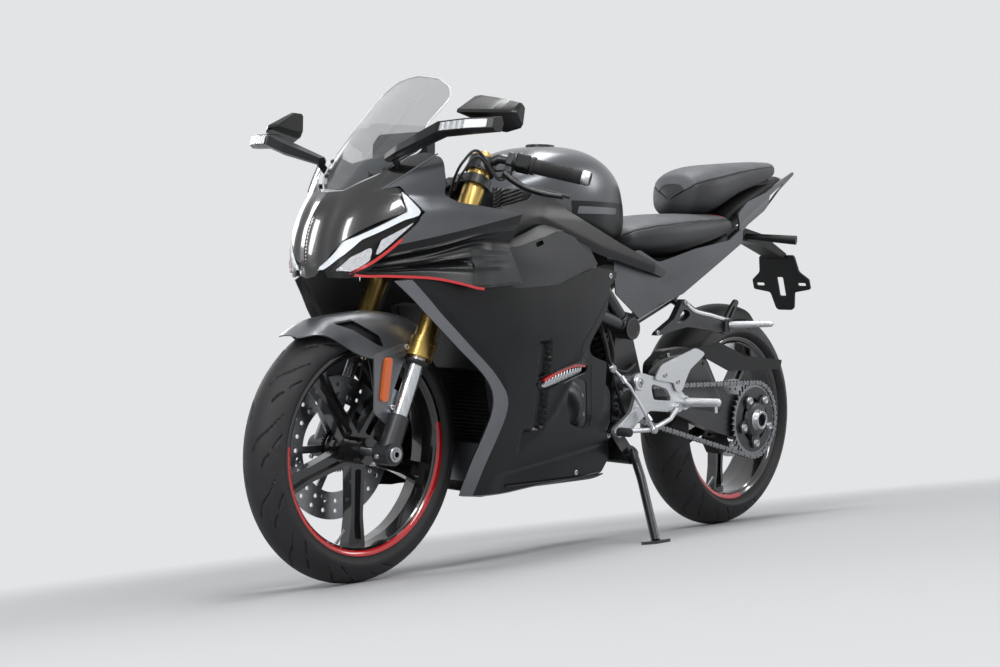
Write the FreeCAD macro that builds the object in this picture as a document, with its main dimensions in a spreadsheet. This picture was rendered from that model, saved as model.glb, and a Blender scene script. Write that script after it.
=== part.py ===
"""Fully faired sport motorcycle with a single-sided swingarm, parked on its side stand.

The bike is drawn upright, X forward, Y to the rider's left, Z up, in millimetres,
with the ground at Z = 0 and the front axle above X = 0. At the end every piece is
leaned to the left onto the deployed side stand, and the whole is shifted so that
the origin is at the centre of the footprint.
"""
import FreeCAD
import Part
import Sketcher
import math
import os
from FreeCAD import Placement, Rotation, Vector

doc = FreeCAD.newDocument("sport_bike")

# %% Driving dimensions in millimetres and degrees
SIZES = [
    ("wheelbase", 1395), ("rake_angle", 23.5), ("fork_offset", 33), ("lean_angle", 10),
    ("wheel_lip_radius", 230), ("bead_radius", 222), ("barrel_radius", 209),
    ("front_tyre_radius", 293), ("front_tyre_crown", 57), ("front_rim_half", 42),
    ("rear_tyre_radius", 306), ("rear_tyre_crown", 80), ("rear_rim_half", 58),
    ("front_axle_radius", 10), ("front_hub_radius", 30), ("running_clearance", 0.05),
    ("front_disc_radius", 160), ("front_disc_thick", 4.5), ("front_disc_y", 62),
    ("rear_disc_radius", 110), ("rear_disc_thick", 5), ("rear_disc_y", 48),
    ("spindle_radius", 27), ("arm_hub_radius", 62), ("arm_inner_y", 84), ("arm_outer_y", 114),
    ("chain_line_y", 125), ("chain_pitch", 15.875), ("rear_teeth", 41), ("front_teeth", 14),
    ("tooth_thick", 5.8), ("chain_height", 15), ("plate_thick", 3), ("chain_gap", 0.35),
    ("pivot_x", -880), ("pivot_z", 385), ("fork_half_track", 105),
    ("outer_tube_radius", 26), ("slider_radius", 18.5), ("fork_collar_radius", 30),
    ("stem_radius", 15), ("headstock_radius", 31), ("headstock_low", 692),
    ("headstock_high", 868), ("yoke_thick", 26), ("frame_tube_radius", 17),
    ("bar_radius", 11), ("grip_radius", 16.5), ("panel_thick", 3),
    ("fairing_half", 250), ("fairing_mid_x", -300), ("nose_x", 148),
    ("engine_half", 150), ("stand_radius", 11), ("stand_pivot_x", -778), ("stand_bolt_radius", 8),
    ("plate_inner_y", 92), ("plate_outer_y", 112),
    ("stand_pivot_z", 250), ("stand_pivot_y", 165), ("stand_foot_y", 322), ("stand_foot_ahead", 95),
    ("cap_radius", 36),
]
sheet = doc.addObject("Spreadsheet::Sheet", "Sizes")
for row, (alias, number) in enumerate(SIZES, start=1):
    sheet.set(f"A{row}", str(number))
    sheet.setAlias(f"A{row}", alias)
doc.recompute()


def size(alias):
    """A driving dimension, read from the sheet."""
    return float(sheet.get(alias))


MIRROR = Vector(0, 1, 0)
ACROSS = Rotation(Vector(1, 0, 0), -90)
nodes = {}


def across(x, z, y=0):
    """Frame whose own Z axis points to the rider's left, at the given place."""
    return Placement(Vector(x, y, z), ACROSS)


# %% Shape helpers
def mirrored(shape):
    """The other side's copy of a shape, as the left and the right solids together."""
    return Part.makeCompound([shape, shape.mirror(Vector(0, 0, 0), MIRROR)])


def rounded_outline(corners, level=0.0, plane="side"):
    """Closed wire with straight edges and arcs; a corner is (a, b) or (a, b, radius)."""
    def point(a, b):
        if plane == "side":
            return Vector(a, level, b)
        if plane == "front":
            return Vector(level, a, b)
        return Vector(a, b, level)

    count = len(corners)
    edges = []
    cursor = None
    first = None
    for index in range(count):
        before = corners[index - 1]
        here = corners[index]
        after = corners[(index + 1) % count]
        radius = here[2] if len(here) > 2 else 0.0
        spot = Vector(here[0], here[1], 0)
        back = Vector(before[0], before[1], 0) - spot
        ahead = Vector(after[0], after[1], 0) - spot
        turn = math.pi - back.getAngle(ahead)
        reach = 0.0
        if radius > 0 and turn > 0.02:
            reach = min(radius * math.tan(turn / 2), 0.48 * back.Length, 0.48 * ahead.Length)
        if reach > 0.01:
            enter = spot + back.normalize() * reach
            leave = spot + ahead.normalize() * reach
            true_radius = reach / math.tan(turn / 2)
            inward = (back + ahead).normalize()
            middle = spot + inward * (true_radius / math.cos(turn / 2) - true_radius)
            if cursor is not None:
                edges.append(Part.makeLine(point(*cursor), point(enter.x, enter.y)))
            else:
                first = (enter.x, enter.y)
            arc = Part.Arc(point(enter.x, enter.y), point(middle.x, middle.y), point(leave.x, leave.y))
            edges.append(arc.toShape())
            cursor = (leave.x, leave.y)
        else:
            if cursor is not None:
                edges.append(Part.makeLine(point(*cursor), point(spot.x, spot.y)))
            else:
                first = (spot.x, spot.y)
            cursor = (spot.x, spot.y)
    edges.append(Part.makeLine(point(*cursor), point(*first)))
    return Part.Wire(edges)


def prism(corners, low, high, plane="side"):
    """Solid of an outline between two levels across its plane."""
    reach = {"side": Vector(0, high - low, 0), "front": Vector(high - low, 0, 0)}
    sweep = reach.get(plane, Vector(0, 0, high - low))
    return Part.Face(rounded_outline(corners, low, plane)).extrude(sweep)


def tube_path(points, bend):
    """Straight runs joined by tangent arcs."""
    edges = []
    cursor = Vector(*points[0])
    for index in range(1, len(points) - 1):
        spot = Vector(*points[index])
        back = Vector(*points[index - 1]) - spot
        ahead = Vector(*points[index + 1]) - spot
        half = (math.pi - back.getAngle(ahead)) / 2
        reach = min(bend * math.tan(half), 0.45 * back.Length, 0.45 * ahead.Length)
        back.normalize()
        ahead.normalize()
        enter = spot + back * reach
        leave = spot + ahead * reach
        radius = reach / math.tan(half)
        middle = spot + (back + ahead).normalize() * (radius / math.cos(half) - radius)
        edges.append(Part.LineSegment(cursor, enter).toShape())
        edges.append(Part.Arc(enter, middle, leave).toShape())
        cursor = leave
    edges.append(Part.LineSegment(cursor, Vector(*points[-1])).toShape())
    return Part.Wire(edges)


def tube(points, radius, bend=60.0):
    """Round bar bent along its points."""
    start = Vector(*points[0])
    ahead = Vector(*points[1]) - start
    section = Part.Wire(Part.makeCircle(radius, start, ahead))
    return tube_path(points, bend).makePipeShell([section], True, False)


def rod(start, end, radius, end_radius=None):
    """Straight bar or cone between two points."""
    start = Vector(*start)
    run = Vector(*end) - start
    if end_radius is None or abs(end_radius - radius) < 1e-6:
        return Part.makeCylinder(radius, run.Length, start, run)
    return Part.makeCone(radius, end_radius, run.Length, start, run)


def ring(x, half_width, low, high, power=2.4, centre_y=0.0, lean=0.0):
    """Closed superellipse across X, of |y/w|^n + |z/h|^n = 1, leaned back by a slope."""
    middle = (low + high) / 2
    half_height = (high - low) / 2
    spots = []
    for step in range(20):
        angle = 2 * math.pi * step / 20
        c, s = math.cos(angle), math.sin(angle)
        y = half_width * math.copysign(abs(c) ** (2 / power), c)
        z = half_height * math.copysign(abs(s) ** (2 / power), s)
        spots.append(Vector(x - lean * z, centre_y + y, middle + z))
    curve = Part.BSplineCurve()
    even_knots = [float(step) for step in range(len(spots) + 1)]
    curve.interpolate(Points=spots, PeriodicFlag=True, Parameters=even_knots)
    return Part.Wire(curve.toShape())


def body_of_rings(rings):
    """Solid lofted through closed sections."""
    return Part.makeLoft(rings, True, False)


def shell(rows, thick):
    """Solid skin of even thickness behind a surface through a grid of points."""
    surface = Part.BSplineSurface()
    surface.interpolate(rows)
    return surface.toShape().makeOffsetShape(thick, 0.01, fill=True)


def revolved(profile, x, z, y=0.0):
    """Ring about the wheel axis from a closed (across, radius) profile."""
    wire = Part.makePolygon([Vector(0, a, r) for a, r in profile + profile[:1]])
    solid = Part.Face(wire).revolve(Vector(0, 0, 0), Vector(0, 1, 0), 360)
    solid.translate(Vector(x, y, z))
    return solid


# %% Document helpers
def bound(kind, name, place=None, **sizes):
    """Part primitive whose sizes are expressions on the sheet."""
    piece = doc.addObject("Part::" + kind, name)
    for prop, formula in sizes.items():
        piece.setExpression(prop, formula)
    if place is not None:
        piece.Placement = place
    return piece


def joined(name, pieces):
    """Fusion of document objects."""
    fusion = doc.addObject("Part::MultiFuse", name)
    fusion.Shapes = pieces
    return fusion


def less(name, base, tool):
    """Document object with another taken away."""
    rest = doc.addObject("Part::Cut", name)
    rest.Base = base
    rest.Tool = tool
    return rest


def feature(label, shape):
    """Sub-part whose shape comes from Part's own functions."""
    piece = doc.addObject("Part::Feature", label)
    piece.Shape = shape
    return keep(label, piece)


def keep(label, piece):
    """Names a document object as a sub-part."""
    piece.Label = label
    nodes[label] = piece
    return piece


def seated_pair(solid, *labels):
    """Left and right copies, each with its own side's neighbours taken away."""
    right = solid.mirror(Vector(0, 0, 0), MIRROR)
    return Part.makeCompound([seated(solid, *labels), seated(right, *labels)])


def seated(solid, *labels):
    """The main part of a shape once the pieces that it rests against are taken away, so that faces meet."""
    rest = solid.cut([nodes[label].Shape for label in labels]).removeSplitter()
    return max(rest.Solids, key=lambda part: part.Volume)


def body_plane(body, role):
    """One of the body's own origin planes."""
    for plane in body.Origin.OriginFeatures:
        if plane.Role == role:
            return plane
    raise ValueError(role)


def sketch_on(body, name, role="XY_Plane"):
    """Empty sketch on one of the body's own planes."""
    sketch = body.newObject("Sketcher::SketchObject", name)
    sketch.AttachmentSupport = [(body_plane(body, role), "")]
    sketch.MapMode = "FlatFace"
    return sketch


def circle_in(sketch, name, formula, x=0.0, y=0.0, x_formula=None):
    """Circle with its radius, and its distance from the origin, bound to the sheet."""
    index = sketch.addGeometry(Part.Circle(Vector(x, y, 0), Vector(0, 0, 1), 5.0), False)
    dimension = sketch.addConstraint(Sketcher.Constraint("Radius", index, 5.0))
    sketch.renameConstraint(dimension, name)
    sketch.setExpression("Constraints." + name, formula)
    if x_formula is None:
        sketch.addConstraint(Sketcher.Constraint("Coincident", index, 3, -1, 1))
    else:
        away = sketch.addConstraint(Sketcher.Constraint("DistanceX", -1, 1, index, 3, 1.0))
        sketch.renameConstraint(away, name + "_away")
        sketch.setExpression("Constraints." + name + "_away", x_formula)
        sketch.addConstraint(Sketcher.Constraint("DistanceY", -1, 1, index, 3, 0.0))
    return index


def brake_disc(label, radius, thick, holes, place):
    """Drilled disc: a padded ring with two rings of holes, as a PartDesign body."""
    body = doc.addObject("PartDesign::Body", label)
    outline = sketch_on(body, label + "_outline")
    circle_in(outline, "outer", f"Sizes.{radius}")
    circle_in(outline, "inner", f"Sizes.{radius} * 0.62")
    pad = body.newObject("PartDesign::Pad", label + "_plate")
    pad.Profile = outline
    pad.setExpression("Length", f"Sizes.{thick}")
    drill = sketch_on(body, label + "_drill")
    circle_in(drill, "hole", "5", x_formula=f"Sizes.{radius} * 0.88")
    circle_in(drill, "slot", "5", x_formula=f"Sizes.{radius} * 0.74")
    pocket = body.newObject("PartDesign::Pocket", label + "_holes")
    pocket.Profile = drill
    pocket.Type = "ThroughAll"
    pocket.Reversed = True
    pattern = body.newObject("PartDesign::PolarPattern", label + "_pattern")
    pattern.Originals = [pocket]
    pattern.Axis = (outline, ["N_Axis"])
    pattern.Angle = 360
    pattern.Occurrences = holes
    body.Tip = pattern
    body.Placement = place
    return body


# %% Places shared by many pieces
REAR_X = -size("wheelbase")
FRONT_Z = size("front_tyre_radius")
REAR_Z = size("rear_tyre_radius")
RAKE = math.radians(size("rake_angle"))
FORK_UP = Vector(-math.sin(RAKE), 0, math.cos(RAKE))
FORK_BACK = Vector(-math.cos(RAKE), 0, -math.sin(RAKE))
AXIS_FOOT = Vector(0, 0, FRONT_Z) + FORK_BACK * size("fork_offset")


def on_fork(height, side=1):
    """Point of a fork leg's centre line at a height above the ground."""
    along = (height - FRONT_Z) / FORK_UP.z
    return Vector(0, side * size("fork_half_track"), FRONT_Z) + FORK_UP * along


def on_axis(height):
    """Point of the steering axis at a height above the ground."""
    return AXIS_FOOT + FORK_UP * ((height - AXIS_FOOT.z) / FORK_UP.z)


# %% Wheels
def tyre(label, radius, crown, rim_half, x, z):
    """Ring with a round crown, bulged sidewalls and beads inside the rim's lips."""
    bead = size("bead_radius")
    lip = size("wheel_lip_radius") + 0.3
    centre = radius - crown
    angle = math.radians(72)
    shoulder = Vector(0, crown * math.sin(angle), centre + crown * math.cos(angle))
    seat = Vector(0, rim_half - 3, bead)
    inner = Vector(0, rim_half - 3, lip)
    start = Vector(0, rim_half + 2, lip)
    bulge = Vector(0, shoulder.y * 0.975, (shoulder.z + lip) / 2)
    spots = [seat, inner, start, bulge, shoulder]
    other = [Vector(0, -spot.y, spot.z) for spot in spots]
    edges = [
        Part.makeLine(seat, inner),
        Part.makeLine(inner, start),
        Part.Arc(start, bulge, shoulder).toShape(),
        Part.Arc(shoulder, Vector(0, 0, radius), other[4]).toShape(),
        Part.Arc(other[4], other[3], other[2]).toShape(),
        Part.makeLine(other[2], other[1]),
        Part.makeLine(other[1], other[0]),
        Part.makeLine(other[0], seat),
    ]
    solid = Part.Face(Part.Wire(edges)).revolve(Vector(0, 0, 0), Vector(0, 1, 0), 360)
    solid.translate(Vector(x, 0, z))
    return feature(label, solid)


def rim(label, rim_half, hub_radius, bore, hub_low, hub_high, x, z):
    """Cast wheel: barrel with two lips, hub, and five spokes with a channel in both faces."""
    lip = size("wheel_lip_radius")
    bead = size("bead_radius")
    barrel = size("barrel_radius")
    edge = rim_half + 3
    half = [(rim_half - 3, bead), (rim_half - 3, lip), (edge, lip), (edge, lip - 6),
            (rim_half - 8, barrel + 3)]
    profile = [(-rim_half + 8, barrel + 3), (-edge, lip - 6), (-edge, lip), (-rim_half + 3, lip),
               (-rim_half + 3, bead)] + half + [(0, barrel)]
    solid = revolved(profile, 0, 0)
    hub = Part.makeCylinder(hub_radius, hub_high - hub_low, Vector(0, hub_low, 0), Vector(0, 1, 0))
    reach = barrel + 4
    spoke = prism([(hub_radius - 8, -21), (reach - 70, -17, 90), (reach, -25), (reach, 25),
                   (reach - 70, 17, 90), (hub_radius - 8, 21)], -14, 14)
    channel = [(hub_radius + 12, -9, 6), (reach - 60, -8, 60), (reach - 12, -14, 6),
               (reach - 12, 14, 6), (reach - 60, 8, 60), (hub_radius + 12, 9, 6)]
    spoke = spoke.cut([prism(channel, 4, 40), prism(channel, -40, -4)])
    arms = []
    for turn in range(5):
        arm = spoke.copy()
        arm.rotate(Vector(0, 0, 0), Vector(0, 1, 0), 72 * turn + 18)
        arms.append(arm)
    drum = Part.makeCylinder(reach, 200, Vector(0, -100, 0), Vector(0, 1, 0))
    star = arms[0].fuse(arms[1:] + [hub]).common(drum)
    solid = solid.fuse(star)
    hole = Part.makeCylinder(bore, 400, Vector(0, -200, 0), Vector(0, 1, 0))
    solid = solid.cut(hole).removeSplitter()
    solid.translate(Vector(x, 0, z))
    return feature(label, solid)


def build_front_wheel():
    """Front tyre, cast rim and the single drilled disc on the right."""
    axle = size("front_axle_radius")
    tyre("front_tyre", size("front_tyre_radius"), size("front_tyre_crown"), size("front_rim_half"),
         0, FRONT_Z)
    rim("front_rim", size("front_rim_half"), size("front_hub_radius"),
        axle + size("running_clearance"), -56, 48, 0, FRONT_Z)
    place = across(0, FRONT_Z, -size("front_disc_y"))
    rotor = brake_disc("front_disc_rotor", "front_disc_radius", "front_disc_thick", 24, place)
    carrier = spider(size("front_disc_radius") * 0.64, 36, -size("front_disc_y"), 7.0, 0, FRONT_Z,
                     size("front_hub_radius") - 4)
    carrier_piece = doc.addObject("Part::Feature", "front_disc_carrier")
    carrier_piece.Shape = carrier
    keep("front_disc", joined("front_disc_set", [rotor, carrier_piece]))


def spider(reach, root, y, thick, x, z, bore):
    """Disc carrier with six arms."""
    hub = Part.makeCylinder(root, thick, Vector(0, 0, 0), Vector(0, 1, 0))
    arms = []
    for turn in range(6):
        arm = Part.makeBox(reach, thick - 2, 16, Vector(0, 1, -8))
        arm.rotate(Vector(0, 0, 0), Vector(0, 1, 0), 60 * turn)
        arms.append(arm)
    solid = hub.fuse(arms).cut(Part.makeCylinder(bore, thick * 3, Vector(0, -thick, 0), Vector(0, 1, 0)))
    solid.translate(Vector(x, y - 1, z))
    return solid


def build_rear_wheel():
    """Rear tyre, cast rim on its spindle, disc, sprocket with five bolts and hub nut."""
    spindle = size("spindle_radius")
    tyre("rear_tyre", size("rear_tyre_radius"), size("rear_tyre_crown"), size("rear_rim_half"),
         REAR_X, REAR_Z)
    rim("rear_rim", size("rear_rim_half"), 48, spindle, -30, size("rear_disc_y") - 2, REAR_X, REAR_Z)
    place = across(REAR_X, REAR_Z, size("rear_disc_y"))
    rotor = brake_disc("rear_disc_rotor", "rear_disc_radius", "rear_disc_thick", 18, place)
    carrier = doc.addObject("Part::Feature", "rear_disc_carrier")
    carrier.Shape = spider(size("rear_disc_radius") * 0.66, 46, size("rear_disc_y"), 6.0,
                           REAR_X, REAR_Z, spindle)
    keep("rear_disc", joined("rear_disc_set", [rotor, carrier]))
    build_sprocket(spindle)


def pitch_radius(teeth):
    """Radius of the circle that the chain's pins lie on."""
    return size("chain_pitch") / (2 * math.sin(math.pi / teeth))


def toothed(teeth, thick, bore):
    """Sprocket plate with round-bottomed teeth, about its own axis along Y."""
    pitch = pitch_radius(teeth)
    step = 2 * math.pi / teeth
    spots = []
    for tooth in range(teeth):
        for share, radius in ((0.0, pitch - 5), (0.3, pitch - 2), (0.42, pitch + 5.5), (0.58, pitch + 5.5),
                              (0.7, pitch - 2)):
            angle = step * (tooth + share)
            spots.append(Vector(radius * math.cos(angle), 0, radius * math.sin(angle)))
    plate = Part.Face(Part.makePolygon(spots + spots[:1])).extrude(Vector(0, thick, 0))
    return plate.cut(Part.makeCylinder(bore, thick * 3, Vector(0, -thick, 0), Vector(0, 1, 0)))


def build_sprocket(spindle):
    """Rear sprocket bolted to its five-armed carrier on the spindle, with the hub nut."""
    line = size("chain_line_y")
    thick = size("tooth_thick")
    plate = toothed(int(size("rear_teeth")), thick, 62)
    plate.translate(Vector(0, line - thick / 2, 0))
    pieces = []
    for turn in range(5):
        arm = prism([(0, -13), (62, -16, 6), (76, -9, 6), (76, 9, 6), (62, 16, 6), (0, 13)],
                    line + thick / 2 - 3, line + thick / 2 + 6)
        bolt = Part.makeCylinder(7, 12, Vector(66, line, 0), Vector(0, 1, 0))
        bolt.rotate(Vector(0, 0, 0), Vector(0, 1, 0), 72 * turn + 18)
        arm.rotate(Vector(0, 0, 0), Vector(0, 1, 0), 72 * turn + 18)
        pieces += [arm, bolt]
    hub = Part.makeCylinder(40, 16, Vector(0, line - 7, 0), Vector(0, 1, 0))
    shaft_low = -34.0
    shaft = Part.makeCylinder(spindle, line + 12 - shaft_low, Vector(0, shaft_low, 0), Vector(0, 1, 0))
    corners = [(27 * math.cos(math.radians(60 * k)), 27 * math.sin(math.radians(60 * k))) for k in range(6)]
    nut = prism(corners, line + 8, line + 28)
    solid = plate.fuse(pieces + [hub, shaft, nut])
    bore = Part.makeCylinder(17, 400, Vector(0, -200, 0), Vector(0, 1, 0))
    solid = solid.cut(bore).removeSplitter()
    solid.translate(Vector(REAR_X, 0, REAR_Z))
    feature("rear_sprocket", solid)


# %% Front fork and steering
def leg(low, high, radius, side, end_radius=None):
    """Round piece on a fork leg's centre line between two heights."""
    return rod(on_fork(low, side), on_fork(high, side), radius, end_radius)


def build_fork():
    """Outer tubes, sliders, axle feet, yokes with the steering stem, and the axle."""
    outer = size("outer_tube_radius")
    slider = size("slider_radius")
    tube_top = 948.0
    tube_low = 500.0
    outer_tube = leg(tube_low, tube_top, outer - 1, 1, outer)
    collar = leg(tube_low - 4, tube_low + 38, size("fork_collar_radius"), 1)
    cap = leg(tube_top, tube_top + 9, outer - 6, 1)
    bore = leg(tube_low - 10, tube_low + 40, slider, 1)
    outer_tube = outer_tube.fuse([collar, cap]).cut(bore)
    feature("fork_outer_tubes", mirrored(outer_tube.removeSplitter()))
    feature("fork_sliders", mirrored(leg(342, tube_low + 40, slider, 1)))
    axle = size("front_axle_radius")
    track = size("fork_half_track")
    foot = leg(300, 372, slider + 6, 1, slider + 4)
    boss = Part.makeCylinder(25, 46, Vector(0, track - 23, FRONT_Z), Vector(0, 1, 0))
    foot = foot.fuse(boss).cut(leg(342, 400, slider, 1))
    foot = foot.cut(Part.makeCylinder(axle, 400, Vector(0, -200, FRONT_Z), Vector(0, 1, 0)))
    left = foot.removeSplitter()
    right = left.mirror(Vector(0, 0, 0), MIRROR)
    feature("fork_feet", Part.makeCompound([left, right]))
    axle_piece = bound("Cylinder", "front_axle_bar", across(0, FRONT_Z, -track - 30),
                       Radius="Sizes.front_axle_radius", Height="2 * Sizes.fork_half_track + 60")
    hollow = bound("Cylinder", "front_axle_bore", across(0, FRONT_Z, -track - 40),
                   Radius="Sizes.front_axle_radius - 3.5", Height="2 * Sizes.fork_half_track + 90")
    keep("front_axle", less("front_axle_tube", axle_piece, hollow))
    doc.recompute()
    build_yoke()


def yoke_plate(height, thick):
    """Clamp plate across both legs, square to the steering axis."""
    outer = size("outer_tube_radius")
    track = size("fork_half_track")
    offset = size("fork_offset")
    corners = [(-28, -34, 20), (-28, 34, 20), (offset - 20, track + 34, 24), (offset + 38, track + 34, 30),
               (offset + 30, track - 30, 30), (30, 0, 60), (offset + 30, -track + 30, 30),
               (offset + 38, -track - 34, 30), (offset - 20, -track - 34, 24)]
    plate = prism(corners, 0, thick, "top")
    turn = Rotation(Vector(0, 1, 0), -size("rake_angle"))
    plate.Placement = Placement(on_axis(height), turn)
    return plate.cut([leg(400, 1000, outer, 1), leg(400, 1000, outer, -1)])


def build_yoke():
    """Both clamp plates and the stem that turns in the headstock."""
    low = size("headstock_low")
    high = size("headstock_high")
    thick = size("yoke_thick")
    rise = FORK_UP.z
    stem = rod(on_axis(low - thick * rise), on_axis(high + thick * rise + 8), size("stem_radius"))
    lower = yoke_plate(low - (thick + 1) * rise, thick)
    upper = yoke_plate(high + rise, thick * 0.8)
    nut = rod(on_axis(high + rise), on_axis(high + 34), 20)
    feature("steering_yoke", lower.fuse([upper, stem, nut]).removeSplitter())


def build_bars():
    """Clip-on bars above the upper clamp, grips, levers with perches and switch blocks."""
    bar = size("bar_radius")
    grip = size("grip_radius")
    outer = size("outer_tube_radius")
    clamp_height = 915.0
    start = on_fork(clamp_height + 22)
    inner = Vector(-300, 165, 944)
    tip = Vector(-384, 306, 908)
    run = (tip - inner).normalize()
    leg_hole = leg(clamp_height - 10, clamp_height + 60, outer, 1)
    clamp = leg(clamp_height, clamp_height + 30, outer + 8, 1)
    outward = Vector(0, 1, 0).cross(run).normalize()
    root = start + Vector(-4, outer + 4, 4)
    bar_piece = tube([root, inner - run * 20, tip], bar, 60)
    feature("clip_on_bars", mirrored(clamp.fuse(bar_piece).cut(leg_hole).removeSplitter()))
    sleeve = rod(inner + run * 62, tip + run * 6, grip)
    sleeve = sleeve.fuse([rod(inner + run * 56, inner + run * 64, grip + 4),
                          rod(tip + run * 6, tip + run * 26, grip - 2)])
    sleeve = sleeve.cut(rod(inner, tip, bar))
    feature("grips", mirrored(sleeve.removeSplitter()))
    block = rod(inner + run * 18, inner + run * 54, 17.5)
    perch = rod(inner + run * 2, inner + run * 16, 17)
    ahead = outward * (1 if outward.x > 0 else -1)
    pivot = inner + run * 10 + ahead * 34
    neck = rod(inner + run * 10, pivot, 9)
    lever_tip = tip + ahead * 52 - run * 6
    lever = tube([pivot, pivot + run * 40 + ahead * 18, lever_tip], 5, 60)
    hub = Part.makeCylinder(11, 16, pivot - Vector(0, 0, 8), Vector(0, 0, 1))
    controls = block.fuse([perch, neck, lever, hub])
    feature("hand_controls", mirrored(controls.cut([bar_piece, clamp]).removeSplitter()))


def clamp_body(disc_y, thick, outline, reach, rotor, away):
    """Caliper outline extruded across a disc, slotted for it, and turned to its place round the wheel."""
    block = prism(outline, disc_y - 22, disc_y + 24)
    room = 5.0
    slot_place = Vector(-150, disc_y - thick / 2 - room, rotor + room - reach - 90)
    slot = Part.makeBox(300, thick + 2 * room, 90, slot_place)
    block = block.cut(slot)
    block.rotate(Vector(0, 0, 0), Vector(0, 1, 0), 90 - away)
    spot = math.radians(away)
    block.translate(Vector(reach * math.cos(spot), 0, reach * math.sin(spot)))
    return block


def build_front_caliper():
    """Four-piston caliper on the right foot, astride the disc."""
    thick = size("front_disc_thick")
    middle = -size("front_disc_y") + thick / 2
    outline = [(-66, -34, 12), (66, -34, 12), (60, 36, 16), (-60, 36, 16)]
    rotor = size("front_disc_radius")
    block = clamp_body(middle, thick, outline, rotor - 18, rotor, 160)
    block.translate(Vector(0, 0, FRONT_Z))
    lug = prism([(-14, 24), (-60, 6), (-150, 20), (-160, 90), (-120, 100), (-30, 60)],
                -size("fork_half_track") + 8, middle - 20)
    lug.translate(Vector(0, 0, FRONT_Z))
    feature("front_caliper", seated(block.fuse(lug), "fork_feet", "fork_sliders", "front_axle"))


GUARD_STATIONS = [(194, 546, 30, 543), (168, 563, 50, 548), (142, 576, 62, 546), (84, 589, 80, 514),
                  (26, 596, 90, 497), (-40, 599, 96, 500), (-111, 590, 92, 520), (-138, 581, 80, 536)]


def build_front_mudguard():
    """Crowned guard with an air slot on each side, and wide stays down to the feet."""
    rows = []
    for x, crown, half, edge in GUARD_STATIONS:
        rows.append([Vector(x, half * share, crown - (crown - edge) * abs(share) ** 2.6)
                     for share in (-1, -0.9, -0.75, -0.5, -0.25, 0, 0.25, 0.5, 0.75, 0.9, 1)])
    skin = shell(rows, size("panel_thick"))
    slot = prism([(116, 574, 4), (60, 583, 10), (-2, 545, 8), (-6, 520, 4), (14, 528, 10), (64, 558, 10)],
                 40, 120)
    skin = skin.cut([slot, slot.mirror(Vector(0, 0, 0), MIRROR)])
    stay = prism([(32, 506, 8), (28, 380, 8), (-14, 350, 8), (-32, 352, 8), (-66, 512, 8), (-58, 530, 8)],
                 88, 92)
    stay = stay.fuse(stay.mirror(Vector(0, 0, 0), MIRROR))
    legs = [leg(420, 720, size("fork_collar_radius") + 1, side) for side in (1, -1)]
    guard = skin.fuse(stay).cut(legs)
    feature("front_mudguard", seated(guard, "fork_feet", "fork_sliders"))
    lens = prism([(2, 500, 8), (-18, 500, 8), (-6, 405, 8), (14, 405, 8)], 92, 99)
    feature("mudguard_reflectors", mirrored(seated(lens, "front_mudguard")))


# %% Frame, engine and running gear
def build_frame():
    """Headstock, tubes round the engine, pivot plates, cross tubes and the stand's lug."""
    radius = size("frame_tube_radius")
    low = size("headstock_low")
    high = size("headstock_high")
    head = rod(on_axis(low), on_axis(high), size("headstock_radius"))
    bore = rod(on_axis(low - 20), on_axis(high + 20), size("stem_radius") + size("running_clearance"))
    pivot_x, pivot_z = size("pivot_x"), size("pivot_z")
    inner, outer = size("plate_inner_y"), size("plate_outer_y")
    neck = on_axis(low + 24)
    crown = on_axis(high - 34)
    lower = tube([(neck.x - 20, 12, neck.z), (-420, 118, 640), (-620, 140, 610), (-805, 124, 565)],
                 radius, 90)
    upper = tube([(crown.x - 22, 14, crown.z), (-400, 118, 790), (-640, 140, 705), (-805, 124, 565)],
                 radius, 90)
    boss = Part.makeCylinder(27, 54, Vector(-805, inner, 562), Vector(0, 1, 0))
    plate = prism([(-780, 585, 20), (-840, 560, 20), (-905, 400, 30), (-895, 330, 30), (-850, 300, 20),
                   (-770, 300, 20), (-765, 400, 60)], inner, outer)
    right = lower.fuse([upper, boss, plate]).mirror(Vector(0, 0, 0), MIRROR)
    left = lower.fuse([upper, boss, plate])
    cross = [rod((-805, -inner - 4, 562), (-805, inner + 4, 562), 15),
             rod((-470, -128, 634), (-470, 128, 634), 9),
             rod((-800, -inner - 4, 345), (-800, inner + 4, 345), 9)]
    pin = rod((pivot_x, -outer - 8, pivot_z), (pivot_x, outer + 8, pivot_z), 12)
    lug_x, lug_y, lug_z = size("stand_pivot_x"), size("stand_pivot_y"), size("stand_pivot_z")
    lug = prism([(lug_x - 24, 330, 4), (lug_x - 24, lug_z - 24, 12), (lug_x + 24, lug_z - 24, 12),
                 (lug_x + 24, 330, 4)], inner, lug_y + 30)
    axis = stand_axis(stand_run())
    pivot = Vector(lug_x, lug_y, lug_z)
    room = Part.makeCylinder(80, 120, pivot - axis * 0.5, axis)
    bolt_room = size("stand_bolt_radius") + size("running_clearance")
    hole = Part.makeCylinder(bolt_room, 200, pivot - axis * 100, axis)
    lug = lug.cut([room, hole])
    solid = head.fuse([left, right, pin, lug] + cross).cut(bore).removeSplitter()
    feature("main_frame", solid)


def build_engine():
    """Twin-cylinder engine as a block of its real outline and width."""
    half = size("engine_half")
    core = half - 60
    case = prism([(-812, 440, 30), (-800, 330, 40), (-740, 262, 30), (-450, 262, 40), (-405, 340, 30),
                  (-405, 470, 20), (-700, 475, 30)], -core, core)
    head = prism([(-430, 460), (-400, 560, 20), (-450, 640, 30), (-560, 655, 30), (-640, 540, 40),
                  (-650, 460)], -core, core)
    cover = prism([(-730, 420, 40), (-730, 330, 50), (-700, 275, 50), (-560, 275, 60), (-520, 380, 60),
                   (-600, 450, 60)], -half + 10, half - 12)
    feature("engine", seated(case.fuse([head, cover]), "main_frame"))


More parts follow.
